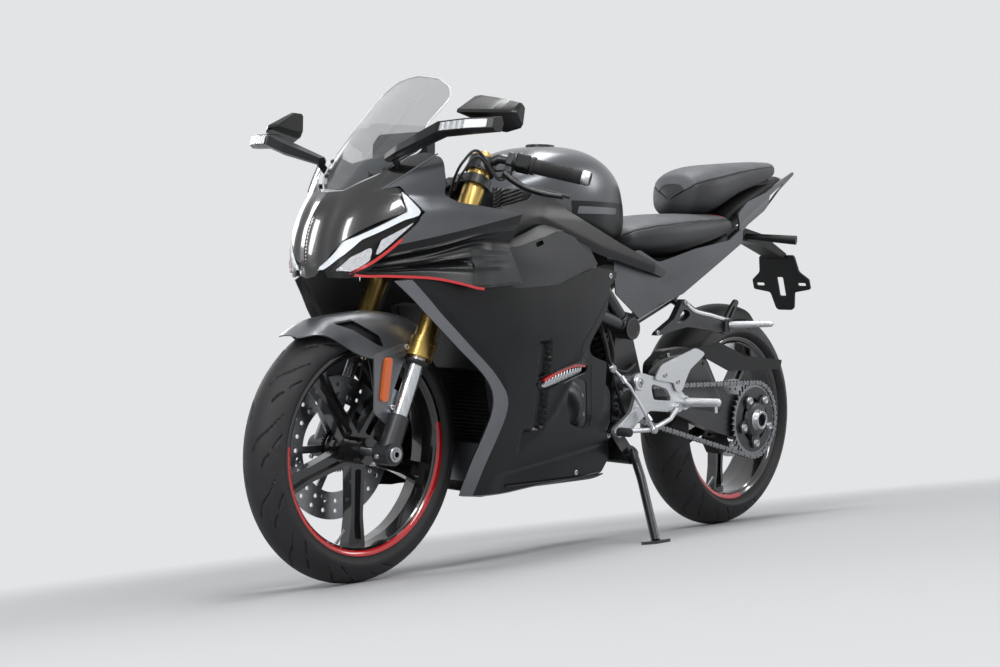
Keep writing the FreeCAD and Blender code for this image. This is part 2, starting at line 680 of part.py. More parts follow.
def build_radiator():
    """Core with end tanks, leaned forward at its top behind the front wheel."""
    core = Part.makeBox(32, 250, 270, Vector(-16, -125, 0))
    tanks = [Part.makeBox(40, 22, 270, Vector(-20, side * 136 - 11, 0)) for side in (-1, 1)]
    fans = Part.makeCylinder(95, 24, Vector(-36, 0, 135), Vector(1, 0, 0))
    solid = core.fuse(tanks + [fans])
    solid.Placement = Placement(Vector(-326, 0, 350), Rotation(Vector(0, 1, 0), 14))
    stays = [rod((-275, side * 100, 600), (-400, side * 110, 643), 7) for side in (-1, 1)]
    feature("radiator", seated(solid.fuse(stays), "main_frame"))


def build_exhaust():
    """Two header pipes, collector under the engine and the silencer low on the right."""
    pipes = [tube([(-420, y, 575), (-372, y, 530), (-366, y, 300), (-420, y * 0.9, 225), (-640, -40, 225)],
                  19, 60) for y in (-60, 60)]
    collector = rod((-620, -40, 226), (-760, -96, 226), 34)
    rings = [ring(x, w, low, high, 2.6, centre_y=y) for x, w, low, high, y in
             ((-745, 42, 186, 266, -92), (-800, 52, 182, 284, -130), (-940, 56, 196, 306, -168),
              (-1050, 50, 226, 322, -178), (-1080, 40, 238, 316, -179))]
    silencer = body_of_rings(rings)
    mouth = Part.makeCylinder(26, 120, Vector(-1110, -179, 277), Vector(1, 0, 0))
    solid = pipes[0].fuse([pipes[1], collector, silencer]).cut(mouth)
    feature("exhaust", seated(solid, "main_frame", "engine"))


def build_swingarm():
    """Single-sided arm on the left: pivot tube, deep beam and the spindle's housing."""
    pivot_x, pivot_z = size("pivot_x"), size("pivot_z")
    inner, outer = size("arm_inner_y"), size("arm_outer_y")
    spindle = size("spindle_radius") + size("running_clearance")
    beam = prism([(-930, 470, 20), (-985, 504, 40), (-1080, 512, 50), (-1175, 480, 60),
                  (REAR_X + 150, 385, 80), (REAR_X + 10, REAR_Z + 62, 40), (REAR_X - 62, REAR_Z, 40),
                  (REAR_X + 10, REAR_Z - 62, 40), (-1234, 276, 60), (-1003, 345, 60),
                  (-930, 356, 20)], inner, outer)
    hub = Part.makeCylinder(size("arm_hub_radius"), outer - 58, Vector(REAR_X, 58, REAR_Z), Vector(0, 1, 0))
    reach = size("plate_inner_y") - 2
    pivot_tube = Part.makeCylinder(26, 2 * reach, Vector(pivot_x, -reach, pivot_z), Vector(0, 1, 0))
    gusset = prism([(pivot_x - 10, pivot_z + 30, 10), (-1000, 440, 20), (-1000, 370, 20),
                    (pivot_x - 10, pivot_z - 24, 10)], -40, inner + 1)
    right_web = prism([(pivot_x, pivot_z + 24, 10), (-960, 425, 20), (-960, 375, 20),
                       (pivot_x, pivot_z - 24, 10)], -reach, -39)
    solid = beam.fuse([hub, pivot_tube, gusset, right_web])
    spindle_hole = Part.makeCylinder(spindle, 400, Vector(REAR_X, -200, REAR_Z), Vector(0, 1, 0))
    feature("swingarm", seated(solid.cut(spindle_hole), "main_frame"))


def chain_loop(offset, teeth_x):
    """Closed outline round both sprockets at a distance from the pitch line."""
    big = pitch_radius(size("rear_teeth")) + offset
    small = pitch_radius(size("front_teeth")) + offset
    centre = Vector(teeth_x, 0, size("pivot_z") - 8)
    rear = Vector(REAR_X, 0, REAR_Z)
    run = centre - rear
    slope = math.atan2(run.z, run.x)
    lean = math.acos((big - small) / run.Length)
    def at(middle, radius, angle):
        return middle + Vector(radius * math.cos(angle), 0, radius * math.sin(angle))
    top, low = slope + lean, slope - lean
    points = [at(rear, big, top), at(centre, small, top), at(centre, small, slope), at(centre, small, low),
              at(rear, big, low), at(rear, big, slope + math.pi)]
    front_arc = Part.Arc(points[1], points[2], points[3]).toShape()
    rear_arc = Part.Arc(points[4], points[5], points[0]).toShape()
    return Part.Wire([Part.makeLine(points[0], points[1]), front_arc, Part.makeLine(points[3], points[4]),
                      rear_arc])


def build_chain():
    """Closed loop of side plates on both sides of the teeth, with pins across its straight runs."""
    line = size("chain_line_y")
    half = size("chain_height") / 2
    low = size("tooth_thick") / 2 + size("chain_gap")
    thick = size("plate_thick")
    front_x = size("pivot_x") + 72
    band = Part.Face(chain_loop(half, front_x)).cut(Part.Face(chain_loop(-half, front_x)))
    strips = [band.extrude(Vector(0, thick, 0)) for _ in range(2)]
    strips[0].translate(Vector(0, line + low, 0))
    strips[1].translate(Vector(0, line - low - thick, 0))
    pins = []
    loop = chain_loop(0, front_x)
    pitch = size("chain_pitch")
    for edge in (loop.Edges[0], loop.Edges[2]):
        count = int(edge.Length / pitch)
        for index in range(3, count - 2, 2):
            spot = edge.valueAt(edge.FirstParameter + index * pitch)
            start = Vector(spot.x, line - low - 1, spot.z)
            pins.append(Part.makeCylinder(4, 2 * low + 2, start, Vector(0, 1, 0)))
    feature("chain", strips[0].fuse(strips[1:] + pins).removeSplitter())


def build_chain_guard():
    """Long blade above the chain, on two pads of the arm."""
    outer = size("arm_outer_y")
    blade = prism([(-930, 484, 10), (-1010, 506, 20), (-1176, 512, 20), (-1224, 524, 10), (-1356, 484, 20),
                   (-1546, 470, 4), (-1532, 444, 4), (-1276, 444, 20), (-1150, 486, 20)],
                  outer + 2, outer + 6)
    pads = [rod((x, outer, z), (x, outer + 3, z), 8) for x, z in ((-1000, 486), (-1080, 498))]
    feature("chain_guard", blade.fuse(pads))


def build_hugger():
    """Inner mudguard over the front of the rear tyre, on two pads of the arm's inner face."""
    rows = []
    for angle in range(30, 106, 15):
        spot = math.radians(angle)
        row = []
        for share in (-1, -0.75, -0.4, 0, 0.4, 0.75, 1):
            reach = size("rear_tyre_radius") + 16 - 42 * abs(share) ** 2.4
            row.append(Vector(REAR_X + reach * math.cos(spot), 74 * share, REAR_Z + reach * math.sin(spot)))
        rows.append(row)
    skin = shell(rows, size("panel_thick"))
    inner = size("arm_inner_y")
    pads = [rod((x, 68, z), (x, inner + 2, z), 7) for x, z in ((-1146, 444), (-1160, 466))]
    feature("rear_hugger", seated(skin.fuse(pads), "swingarm"))


def build_shock():
    """Coil-over unit between the frame's cross tube and the arm."""
    body = rod((-806, 0, 575), (-930, 0, 418), 24)
    spring = rod((-824, 0, 552), (-900, 0, 456), 34)
    feature("shock_absorber", seated(body.fuse(spring), "main_frame", "swingarm"))


def build_rear_caliper():
    """Rear caliper hung from the arm's hub, astride the rear disc."""
    thick = size("rear_disc_thick")
    middle = size("rear_disc_y") + thick / 2
    outline = [(-34, -26, 8), (34, -26, 8), (30, 26, 12), (-30, 26, 12)]
    rotor = size("rear_disc_radius")
    block = clamp_body(middle, thick, outline, rotor - 10, rotor, -38)
    bracket = rod((50 * 0.79, middle + 14, -50 * 0.62), (96 * 0.79, middle + 14, -96 * 0.62), 8)
    solid = block.fuse(bracket)
    solid.translate(Vector(REAR_X, 0, REAR_Z))
    feature("rear_caliper", seated(solid, "swingarm"))


# %% Rider's contact pieces
def build_footrests():
    """Open alloy bracket on each side with its peg, and the heel guard bolted on it."""
    outline = [(-760, 446, 14), (-793, 452, 10), (-934, 419, 10), (-976, 393, 14), (-997, 368, 12),
               (-958, 349, 12), (-832, 358, 30), (-772, 324, 20), (-711, 296, 10), (-684, 312, 10),
               (-758, 356, 30), (-772, 398, 30)]
    bracket = prism(outline, 176, 184)
    window = prism([(-826, 426, 8), (-906, 410, 8), (-926, 376, 8), (-842, 382, 8)], 170, 190)
    guard = prism([(-841, 436, 8), (-868, 470, 10), (-1018, 511, 6), (-1059, 497, 6), (-990, 458, 20),
                   (-960, 402, 8), (-932, 408, 6)], 182, 187)
    bracket = bracket.cut(window).fuse(guard)
    mounts = [rod((x, size("plate_outer_y"), z), (x, 178, z), 9) for x, z in ((-782, 430), (-862, 434))]
    peg = rod((-966, 178, 372), (-976, 292, 378), 11, 9)
    ball = Part.makeSphere(11, Vector(-976, 290, 378))
    feature("rider_footrests", mirrored(bracket.fuse(mounts + [peg, ball]).removeSplitter()))


def build_pedals():
    """Gear lever with its linkage on the left, brake pedal on the right."""
    hub = rod((-940, 184, 362), (-940, 200, 362), 10)
    gear = tube([(-940, 194, 362), (-900, 198, 334), (-812, 205, 312), (-676, 210, 314)], 6, 30)
    toe = rod((-676, 206, 314), (-676, 244, 314), 8)
    link = tube([(-812, 214, 312), (-740, 190, 420), (-700, 160, 470)], 4, 30)
    left = gear.fuse([hub, toe, link])
    brake = tube([(-940, 194, 362), (-900, 198, 334), (-812, 205, 300), (-690, 210, 300)], 7, 30)
    right = brake.fuse([hub, rod((-690, 206, 300), (-690, 250, 300), 8)]).mirror(Vector(0, 0, 0), MIRROR)
    feature("foot_pedals", Part.makeCompound([left.removeSplitter(), right.removeSplitter()]))


def build_pillion_rests():
    """Hanger arms from the subframe with the folding pegs."""
    hanger = prism([(-862, 542, 8), (-954, 585, 10), (-994, 637, 12), (-1041, 612, 14), (-1197, 588, 8),
                    (-1182, 555, 8), (-1014, 570, 20), (-954, 560, 20)], 150, 164)
    peg = rod((-1186, 160, 572), (-1222, 288, 578), 9)
    blade = prism([(-1190, 580, 4), (-1212, 570, 4), (-1252, 629, 4), (-1244, 632, 4)], 158, 162)
    boss = rod((-998, 152, 622), (-998, 116, 638), 9)
    solid = hanger.fuse([peg, blade, boss])
    feature("pillion_footrests", mirrored(seated(solid, "rear_subframe")))


def stand_run():
    """Run of the parked leg from its pivot to its ankle, in the upright drawing."""
    lean = math.radians(size("lean_angle"))
    out_y = size("stand_foot_y")
    drop = floor_height(out_y, lean)
    return Vector(size("stand_foot_ahead"), out_y - size("stand_pivot_y"), drop + 14 - size("stand_pivot_z"))


def build_side_stand():
    """Leg in its parked place, with its foot flat on the ground of the leaned bike."""
    lean = math.radians(size("lean_angle"))
    pivot = Vector(size("stand_pivot_x"), size("stand_pivot_y"), size("stand_pivot_z"))
    radius = size("stand_radius")
    ankle = pivot + stand_run()
    drop = floor_height(ankle.y, lean)
    axis = stand_axis(stand_run())
    eye = Part.makeCylinder(17, 14, pivot, axis)
    bolt = Part.makeCylinder(size("stand_bolt_radius"), 44, pivot - axis * 30, axis)
    root = pivot + axis * (radius + 1)
    shank = tube([root, root + stand_run() * 0.35, ankle - Vector(0, 0, 9)], radius, 200)
    foot = prism([(-34, -24, 14), (30, -24, 14), (40, 0, 14), (30, 26, 14), (-34, 26, 14)], 0, 7, "top")
    ground = Placement(Vector(ankle.x, ankle.y, drop), Rotation(Vector(1, 0, 0), math.degrees(lean)))
    foot.Placement = ground
    solid = eye.fuse([bolt, shank, foot])
    under = Part.makeBox(400, 400, 100, Vector(-200, -200, -100))
    under.Placement = ground
    feature("side_stand", solid.cut(under).removeSplitter())


def stand_axis(leg_run):
    """Axis that swings the leg from its parked run to a folded one, straight back."""
    return leg_run.cross(Vector(-1, 0, 0.04)).normalize()


def floor_height(y, lean):
    """Height of the ground under the leaned bike, in the upright drawing, at a distance to the left."""
    crown = (size("front_tyre_crown") + size("rear_tyre_crown")) / 2
    return (y * math.sin(lean) - crown * (1 - math.cos(lean))) / math.cos(lean)


# %% Bodywork surfaces
def nose_profile(height):
    """Forward reach of the fairing's centre line at a height, even below the nose."""
    above = max(height, 640.0) - 715.0
    return size("nose_x") - (0.003 if above > 0 else 0.001) * above * above


def side_factor(height):
    """Share of the fairing's half width at a height: tucked in below, flared at the mirrors."""
    if height < 640:
        return 1 - 0.40 * ((640 - height) / 450) ** 1.7
    if height > 850:
        return 1 + 0.0039 * (height - 850)
    return 1.0


def fairing_depth(x, height):
    """Half width of the fairing: an ellipse ahead of its widest place, a slow taper behind."""
    half = size("fairing_half")
    middle = size("fairing_mid_x")
    if x > middle:
        share = min((x - middle) / (nose_profile(height) - middle), 0.999)
        width = half * math.sqrt(1 - share * share)
    else:
        width = half - 2.2e-4 * (x - middle) ** 2
    return width * side_factor(height)


def cowl_shell(low, high, thick):
    """The fairing's rounded front, from side to side."""
    rows = []
    steps = 9
    for step in range(steps):
        height = low + (high - low) * step / (steps - 1)
        row = []
        for angle in range(-90, 91, 10):
            spot = math.radians(angle)
            reach = nose_profile(height) - size("fairing_mid_x")
            row.append(Vector(size("fairing_mid_x") + reach * math.cos(spot),
                              size("fairing_half") * side_factor(height) * math.sin(spot), height))
        rows.append(row)
    return shell(rows, thick)


def side_skin(depth, corners, thick, columns=14, lines=9):
    """Panel bounded by a side-view outline, with its outer face at depth(x, z)."""
    xs = [corner[0] for corner in corners]
    zs = [corner[1] for corner in corners]
    x_low, x_high = min(xs) - 6, max(xs) + 6
    z_low, z_high = min(zs) - 6, max(zs) + 6
    rows = []
    for column in range(columns + 1):
        x = x_low + (x_high - x_low) * column / columns
        rows.append([Vector(x, depth(x, z_low + (z_high - z_low) * line / lines),
                            z_low + (z_high - z_low) * line / lines) for line in range(lines + 1)])
    skin = shell(rows, thick)
    return skin.common(prism(corners, 20, 400))


HEADLIGHT = [(18, 866, 4), (-19, 812, 10), (-5, 790, 6), (43, 741, 20), (106, 678, 4), (146, 682, 4),
             (119, 748, 16), (12, 815, 8)]
UPPER_SIDE = [(44, 858, 2), (-53, 940, 8), (-53, 900, 30), (-62, 850, 20), (-92, 836, 20), (-262, 820, 2),
              (43, 739), (-5, 790), (-19, 812), (18, 866)]


def build_nose():
    """Black nose, both headlamps and the upper side panels, all cut from one rounded front."""
    thick = size("panel_thick")
    front = cowl_shell(664, 944, thick)
    if front.Volume < 0:
        front.reverse()
    lamp = front.common(prism(HEADLIGHT, 30, 300))
    feature("headlights", mirrored(lamp))
    panel = front.common(prism(UPPER_SIDE, 60, 400))
    feature("upper_fairings", mirrored(panel))
    half = [(60, 868), (122, 870), (148, 868), (175, 812), (120, 745), (90, 672)]
    outline = [(0, 852, 30)] + half + [(-y, z) for y, z in reversed(half)]
    band = front.common(prism(outline, 0, 260, "front"))
    for side in (1, -1):
        for outline in (HEADLIGHT, UPPER_SIDE):
            knife = prism(outline, 30, 400)
            if side < 0:
                knife = knife.mirror(Vector(0, 0, 0), MIRROR)
            band = band.cut(knife)
    solids = sorted(band.Solids, key=lambda solid: -solid.Volume)
    feature("nose_cowl", solids[0])


def build_windscreen():
    """Bubble screen, as one curved sheet."""
    rows = []
    for step in range(8):
        height = 846 + 290 * step / 7
        lean = 0.72 * (height - 846) + 0.00062 * (height - 846) ** 2
        rows.append([Vector(84 - lean - 0.003 * y * y, y, height) for y in range(-160, 161, 32)])
    sheet_shape = shell(rows, 3.0)
    half = [(34, 856, 20), (95, 896, 40), (136, 946, 14), (115, 1008, 50), (122, 1072, 50), (104, 1098, 30),
            (66, 1121, 60)]
    outline = [(0, 850, 12)] + half + [(0, 1131, 40)] + [(-y, *rest) for y, *rest in reversed(half)]
    feature("windscreen", sheet_shape.common(prism(outline, -400, 300, "front")))


def build_fairing_stay():
    """Stay from the headstock to the nose: beam, cross tube and arms that carry screen, dash and panels."""
    beam = tube([on_axis(795) + Vector(6, 0, 0), Vector(-150, 0, 800), Vector(-62, 0, 876)], 13, 50)
    cross = rod((-62, -128, 878), (-62, 128, 878), 9)
    arms = []
    for side in (1, -1):
        arms.append(rod((-62, side * 120, 878), (-62, side * (fairing_depth(-62, 880) - 1.5), 880), 6))
        arms.append(rod((-62, side * 90, 878), (13, side * 90, 905), 5))
        arms.append(rod((-62, side * 50, 878), (-122, side * 50, 925), 6))
    stay = beam.fuse([cross] + arms)
    feature("fairing_stay", seated(stay, "main_frame", "windscreen", "upper_fairings", "dash"))


def build_dash():
    """Instrument block behind the screen."""
    screen = prism([(-88, 905, 10), (88, 905, 10), (88, 985, 14), (-88, 985, 14)], -24, 0, "front")
    screen.Placement = Placement(Vector(-120, 0, 0), Rotation())
    feature("dash", screen)


def build_winglets():
    """Blade on each side below the headlamp, out past the fairing."""
    low = [Vector(112, 86, 674), Vector(50, 152, 675), (Vector(-20, 205, 673)), Vector(-97, 262, 656),
           Vector(-231, 280, 668)]
    high = [Vector(110, 82, 682), Vector(44, 136, 694), Vector(-30, 184, 712), Vector(-120, 226, 740),
            Vector(-231, 240, 742)]
    low_curve, high_curve = Part.BSplineCurve(), Part.BSplineCurve()
    low_curve.interpolate(low)
    high_curve.interpolate(high)
    face = Part.makeRuledSurface(low_curve.toShape(), high_curve.toShape())
    blade = face.makeOffsetShape(-6.0, 0.01, fill=True)
    if blade.Volume < 0:
        blade.reverse()
    boss = rod((-150, 263, 682), (-150, fairing_depth(-150, 682) - 1, 682), 6)
    feature("winglets", mirrored(seated(blade.fuse(boss), "side_fairings")))


SIDE_PANEL = [(5, 626, 10), (-20, 664, 20), (-100, 692, 20), (-226, 692, 10), (-234, 656, 10),
              (-276, 657, 100),
              (-389, 666, 100), (-538, 709, 60),
              (-640, 700, 6), (-597, 661, 20), (-589, 610, 60), (-512, 506, 20), (-545, 488, 10),
              (-616, 484, 6), (-643, 371, 40), (-630, 323, 10), (-680, 314, 10), (-732, 246, 12),
              (-712, 203, 20), (-441, 192, 40), (-253, 183, 30), (-186, 190, 20), (-196, 265, 60),
              (-221, 369, 60), (-214, 420, 50), (-179, 462, 40), (-98, 525, 60), (-31, 588, 60)]
SIDE_WINDOW = [(-469, 432, 20), (-484, 365, 30), (-515, 337, 30), (-570, 324, 10), (-577, 342, 10),
               (-540, 440, 20), (-500, 452, 10)]


VENT_FIN = [(-348, 436, 12), (-357, 449, 12), (-408, 467, 40), (-485, 486, 40), (-531, 480, 12),
            (-529, 462, 12), (-451, 440, 40), (-386, 424, 20)]


def build_side_fairings():
    """Large side panels with the engine window, the infill above and the vent fins."""
    thick = size("panel_thick")
    panel = side_skin(fairing_depth, SIDE_PANEL, thick, 18, 12)
    panel = panel.cut([prism(SIDE_WINDOW, 20, 400), prism(VENT_FIN, 20, 400)])
    cover_y = size("engine_half") - 12
    bosses = [rod((-600, fairing_depth(-600, 292) - 1.5, 292), (-600, cover_y, 292), 7),
              rod((-560, fairing_depth(-560, 620) - 1.5, 620), (-560, 138, 620), 7)]
    feature("side_fairings", seated_pair(panel.fuse(bosses), "main_frame", "engine"))
    infill = [(-236, 745, 4), (-266, 749, 30), (-420, 790, 20), (-470, 778, 20), (-560, 716, 10),
              (-538, 709, 60), (-389, 666, 100), (-276, 657, 100), (-234, 656, 4)]
    skin = side_skin(lambda x, z: fairing_depth(x, z) - 0.12 * max(0.0, z - 657), infill, thick)
    feature("side_infill_panels", mirrored(seated(skin, "tank_shoulders", "side_fairings")))
    feature("vent_fins", mirrored(prism(VENT_FIN, 212, 244)))


def build_belly_pan():
    """Curved pan that closes the fairing below the engine."""
    rows = []
    for x in (-332, -420, -520, -620, -715):
        half = fairing_depth(x, 205) - 1.5
        rows.append([Vector(x, half * share, 180 + 24 * abs(share) ** 3) for share in
                     (-1, -0.75, -0.4, 0, 0.4, 0.75, 1)])
    feature("belly_pan", seated(shell(rows, 3.0), "side_fairings"))


def shoulder_depth(x, height):
    """Half width of the panel beside the tank, tucked under the upper side panel at its front."""
    share = min(max((x + 450) / 300, 0.0), 1.0)
    base = 170 + 34 * share * share * (3 - 2 * share) - 0.008 * max(0.0, height - 820) ** 2
    return min(base, fairing_depth(x, height) - 12)


def build_tank():
    """Fuel tank, its filler cap and the shoulder panels beside it."""
    rings = [ring(x, w, low, high, 2.5) for x, w, low, high in
             ((-372, 60, 800, 896), (-430, 112, 790, 954), (-500, 146, 775, 991), (-590, 160, 765, 1006),
              (-680, 156, 758, 1004), (-760, 134, 752, 976), (-815, 102, 760, 926), (-842, 76, 775, 880))]
    tank = body_of_rings(rings)
    cap_x, cap_z = -600.0, 998.0
    seat_cut = Part.makeCylinder(size("cap_radius") + 1, 60, Vector(cap_x, 0, cap_z), Vector(0, 0, 1))
    neck = Part.makeCylinder(22, 60, Vector(cap_x, 0, cap_z - 30), Vector(0, 0, 1))
    posts = [rod((-500, side * 122, 760), (-500, side * 110, 850), 9) for side in (1, -1)]
    posts += [rod((-720, side * 128, 640), (-720, side * 90, 800), 8) for side in (1, -1)]
    tank = tank.fuse(posts).cut([seat_cut, neck])
    hinge = Vector(cap_x + size("cap_radius") + 2, 0, cap_z + 7)
    notch = Part.makeBox(18, 26, 30, hinge - Vector(9, 13, 7))
    feature("fuel_tank", seated(tank.cut(notch), "main_frame", "rear_subframe"))
    lid = Part.makeCylinder(size("cap_radius"), 12, Vector(cap_x, 0, cap_z + 0.3), Vector(0, 0, 1))
    knuckle = Part.makeCylinder(4, 18, hinge - Vector(0, 9, 0), Vector(0, 1, 0))
    feature("filler_cap", lid.fuse(knuckle).removeSplitter())
    outline = [(-22, 746, 10), (-150, 804, 40), (-240, 834, 40), (-320, 848, 60), (-380, 860, 60),
               (-446, 890, 20), (-469, 884, 20), (-515, 842, 60), (-716, 772, 100), (-881, 722, 60),
               (-933, 708, 4), (-912, 692, 8), (-846, 703, 40), (-649, 740, 100), (-412, 793, 60),
               (-266, 752, 60)]
    panel = side_skin(shoulder_depth, outline, size("panel_thick"))
    bosses = [rod((x, shoulder_depth(x, z) - 1.5, z), (x, 60, z), 7) for x, z in ((-600, 800), (-470, 850))]
    feature("tank_shoulders", mirrored(seated(panel.fuse(bosses), "fuel_tank", "main_frame")))


def build_seats():
    """Rider's seat and the raised pillion seat."""
    rider = [ring(x, w, low, high, 2.8) for x, w, low, high in
             ((-842, 82, 742, 796), (-900, 108, 736, 822), (-1000, 134, 742, 852), (-1100, 142, 762, 864),
              (-1200, 138, 790, 868), (-1284, 122, 818, 868))]
    feature("rider_seat", seated(body_of_rings(rider), "fuel_tank", "rear_subframe"))
    pillion = [ring(x, w, low, high, 2.8) for x, w, low, high in
               ((-1142, 44, 862, 950), (-1176, 78, 862, 980), (-1250, 98, 872, 1004), (-1370, 96, 926, 1020),
                (-1500, 78, 966, 1034), (-1604, 46, 998, 1040))]
    feature("pillion_seat", seated(body_of_rings(pillion), "rider_seat"))


def build_tail():
    """Side covers below the seat, the blades of the tail and the lamp between them."""
    thick = size("panel_thick")
    core = [ring(x, w, low, high, 2.6) for x, w, low, high in
            ((-1296, 92, 812, 884), (-1420, 76, 856, 945), (-1540, 56, 915, 980), (-1640, 36, 972, 1006))]
    feature("tail_centre", seated(body_of_rings(core), "pillion_seat", "rider_seat", "rear_subframe"))
    cover = [(-730, 648, 10), (-716, 730, 20), (-820, 760, 20), (-900, 731, 40), (-1055, 771, 40),
             (-1222, 800, 30), (-1292, 838, 10), (-1290, 796, 10), (-1079, 688, 40), (-1009, 652, 40),
             (-916, 626, 20), (-825, 588, 10)]
    side = side_skin(lambda x, z: 152 - 6e-5 * (x + 950) ** 2, cover, thick)
    bosses = [rod((x, 158, z), (x, y, z - 4), 7) for x, y, z in ((-1000, 116, 662), (-1200, 92, 776))]
    side = seated(side.fuse(bosses), "rear_subframe", "rider_seat", "tank_shoulders", "main_frame")
    blade = [(-1290, 876, 10), (-1350, 912, 30), (-1470, 944, 40), (-1620, 1000, 20), (-1676, 1020, 4),
             (-1672, 1010, 4), (-1580, 962, 20), (-1465, 892, 40), (-1355, 848, 20), (-1302, 818, 10)]
    skin = side_skin(lambda x, z: 128 + 0.18 * (x + 1290), blade, thick * 2)
    boss = rod((-1400, 104, 900), (-1400, 60, 900), 8)
    skin = seated(skin.fuse(boss), "tail_centre", "pillion_seat", "rider_seat")
    feature("tail_fairing", Part.makeCompound([mirrored(side), mirrored(skin)]))
    lamp = body_of_rings([ring(-1640, 34, 974, 1004, 2.6), ring(-1668, 26, 984, 1006, 2.6)])
    feature("tail_light", seated(lamp, "tail_centre"))


def build_subframe():
    """Seat rails and their braces."""
    radius = 12.0
    rail = tube([(-690, 134, 676), (-900, 112, 722), (-1100, 98, 742), (-1290, 84, 788), (-1386, 60, 826)],
                radius, 80)
    brace = tube([(-818, 126, 572), (-1010, 122, 645), (-1160, 94, 756)], radius - 2, 80)
    left = rail.fuse(brace)
    right = left.mirror(Vector(0, 0, 0), MIRROR)
    cross = rod((-1290, -84, 788), (-1290, 84, 788), 10)
    feature("rear_subframe", seated(left.fuse([right, cross]), "main_frame"))


def build_plate_hanger():
    """Arm, slotted blank plate holder and the rear indicators."""
    arm = prism([(-1340, 850, 6), (-1440, 850, 20), (-1560, 832, 20), (-1696, 778, 10), (-1690, 762, 6),
                 (-1550, 802, 30), (-1431, 812, 20), (-1340, 812, 6)], -32, 32)
    half = [(60, 4, 10), (68, -48, 20), (98, -72, 6), (98, -102, 6), (42, -112, 10), (30, -168, 14)]
    plate = prism(half + [(-y, *rest) for y, *rest in reversed(half)], 0, 6, "front")
    slots = [prism([(low, top, 4), (high, top, 4), (high, bottom, 4), (low, bottom, 4)], -5, 20, "front")
             for low, high, top, bottom in ((-11, 11, -64, -124), (58, 86, -82, -92), (-86, -58, -82, -92))]
    plate = plate.cut(slots)
    plate.Placement = Placement(Vector(-1694, 0, 772), Rotation(Vector(0, 1, 0), 20))
    lamps = [rod((-1480, side * 30, 822), (-1530, side * 165, 812), 9, 13) for side in (-1, 1)]
    feature("plate_hanger", seated(arm.fuse([plate] + lamps), "tail_centre", "rear_subframe"))


MIRROR_ARM = [(106, 20, 924, 13, 12), (150, 24, 935, 17, 14), (215, 24, 953, 20, 17), (275, 16, 974, 22, 22),
              (335, -2, 982, 22, 19), (386, -26, 974, 15, 14)]
MIRROR_HEAD = [(292, 6, 1004, 10, 7), (318, -8, 1024, 24, 23), (356, -30, 1022, 27, 28),
               (396, -58, 1004, 24, 31)]


def build_mirrors():
    """Angular mirror heads on broad arms that end in the front indicators, on feet of the fairing's stay."""
    lofts = []
    for stations in (MIRROR_ARM, MIRROR_HEAD):
        sections = []
        for y, x, z, half_x, half_z in stations:
            section = ring(0, half_x, -half_z, half_z, 3.2)
            section.Placement = Placement(Vector(x, y, z), Rotation(Vector(0, 0, 1), 90))
            sections.append(section)
        lofts.append(body_of_rings(sections))
    head = lofts[0].fuse(lofts[1])
    foot = seated(rod((-56, 118, 880), (20, 122, 926), 8).cut(head), "fairing_stay")
    feature("mirrors", Part.makeCompound([mirrored(head), mirrored(foot)]))


# %% Build every sub-part, each after the pieces that it rests on
build_front_wheel()
build_rear_wheel()
build_fork()
build_bars()
build_front_caliper()
build_front_mudguard()
build_frame()
build_engine()
build_radiator()
build_exhaust()
build_swingarm()
build_chain()
build_chain_guard()
build_hugger()
build_shock()
build_rear_caliper()
build_footrests()
build_pedals()
build_subframe()
build_pillion_rests()
build_side_stand()
build_tank()
build_side_fairings()
build_nose()
build_winglets()
build_windscreen()
build_dash()
build_fairing_stay()
build_belly_pan()
build_seats()
build_tail()
build_plate_hanger()
build_mirrors()
doc.recompute()

# %% Lean onto the stand, and put the origin at the centre of the footprint
lean_turn = Placement(Vector(0, 0, 0), Rotation(Vector(1, 0, 0), -size("lean_angle")))
upright = {label: piece.Placement for label, piece in nodes.items()}
for label, piece in nodes.items():
    piece.Placement = lean_turn.multiply(upright[label])
doc.recompute()
boxes = [piece.Shape.BoundBox for label, piece in nodes.items() if "tyre" not in label]
front, rear = size("front_tyre_radius"), REAR_X - size("rear_tyre_radius")
low_x, high_x = min([rear] + [box.XMin for box in boxes]), max([front] + [box.XMax for box in boxes])
low_y, high_y = min(box.YMin for box in boxes), max(box.YMax for box in boxes)
floor = floor_height(0, math.radians(size("lean_angle"))) * math.cos(math.radians(size("lean_angle")))
shift = Vector(-(low_x + high_x) / 2, -(low_y + high_y) / 2, -floor)
for label, piece in nodes.items():
    piece.Placement = Placement(shift, Rotation()).multiply(lean_turn).multiply(upright[label])
doc.recompute()
print("shift of the upright drawing after the lean:", shift.x, shift.y, shift.z)

# %% Check and write
for item in doc.Objects:
    bad = [state for state in item.State if state in ("Invalid", "Error")]
    if bad:
        raise RuntimeError(f"{item.Name} failed: {bad}")
faulty = [label for label, piece in nodes.items()
          if piece.Shape.isNull() or not piece.Shape.isValid() or not piece.Shape.Solids]
if faulty:
    raise RuntimeError(f"no valid solid in {faulty}")
os.makedirs("parts", exist_ok=True)
for label, piece in nodes.items():
    piece.Shape.exportStep(f"parts/{label}.step")
print(len(nodes), "sub-parts written")
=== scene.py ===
# %% [markdown]
# A sport motorcycle, fully faired and parked on its side stand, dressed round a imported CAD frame.
# The frame gives each main form and its place. This file adds the finishes, the fine edges, the
# tread, the lamps, the stitched seats and the small hardware. Each step says what the real piece
# is, how it could be made, and why it is made this way.

# %% The fixed frame
import math

import bmesh
import bpy
import numpy as np
from mathutils import Matrix, Vector
from mathutils.geometry import delaunay_2d_cdt


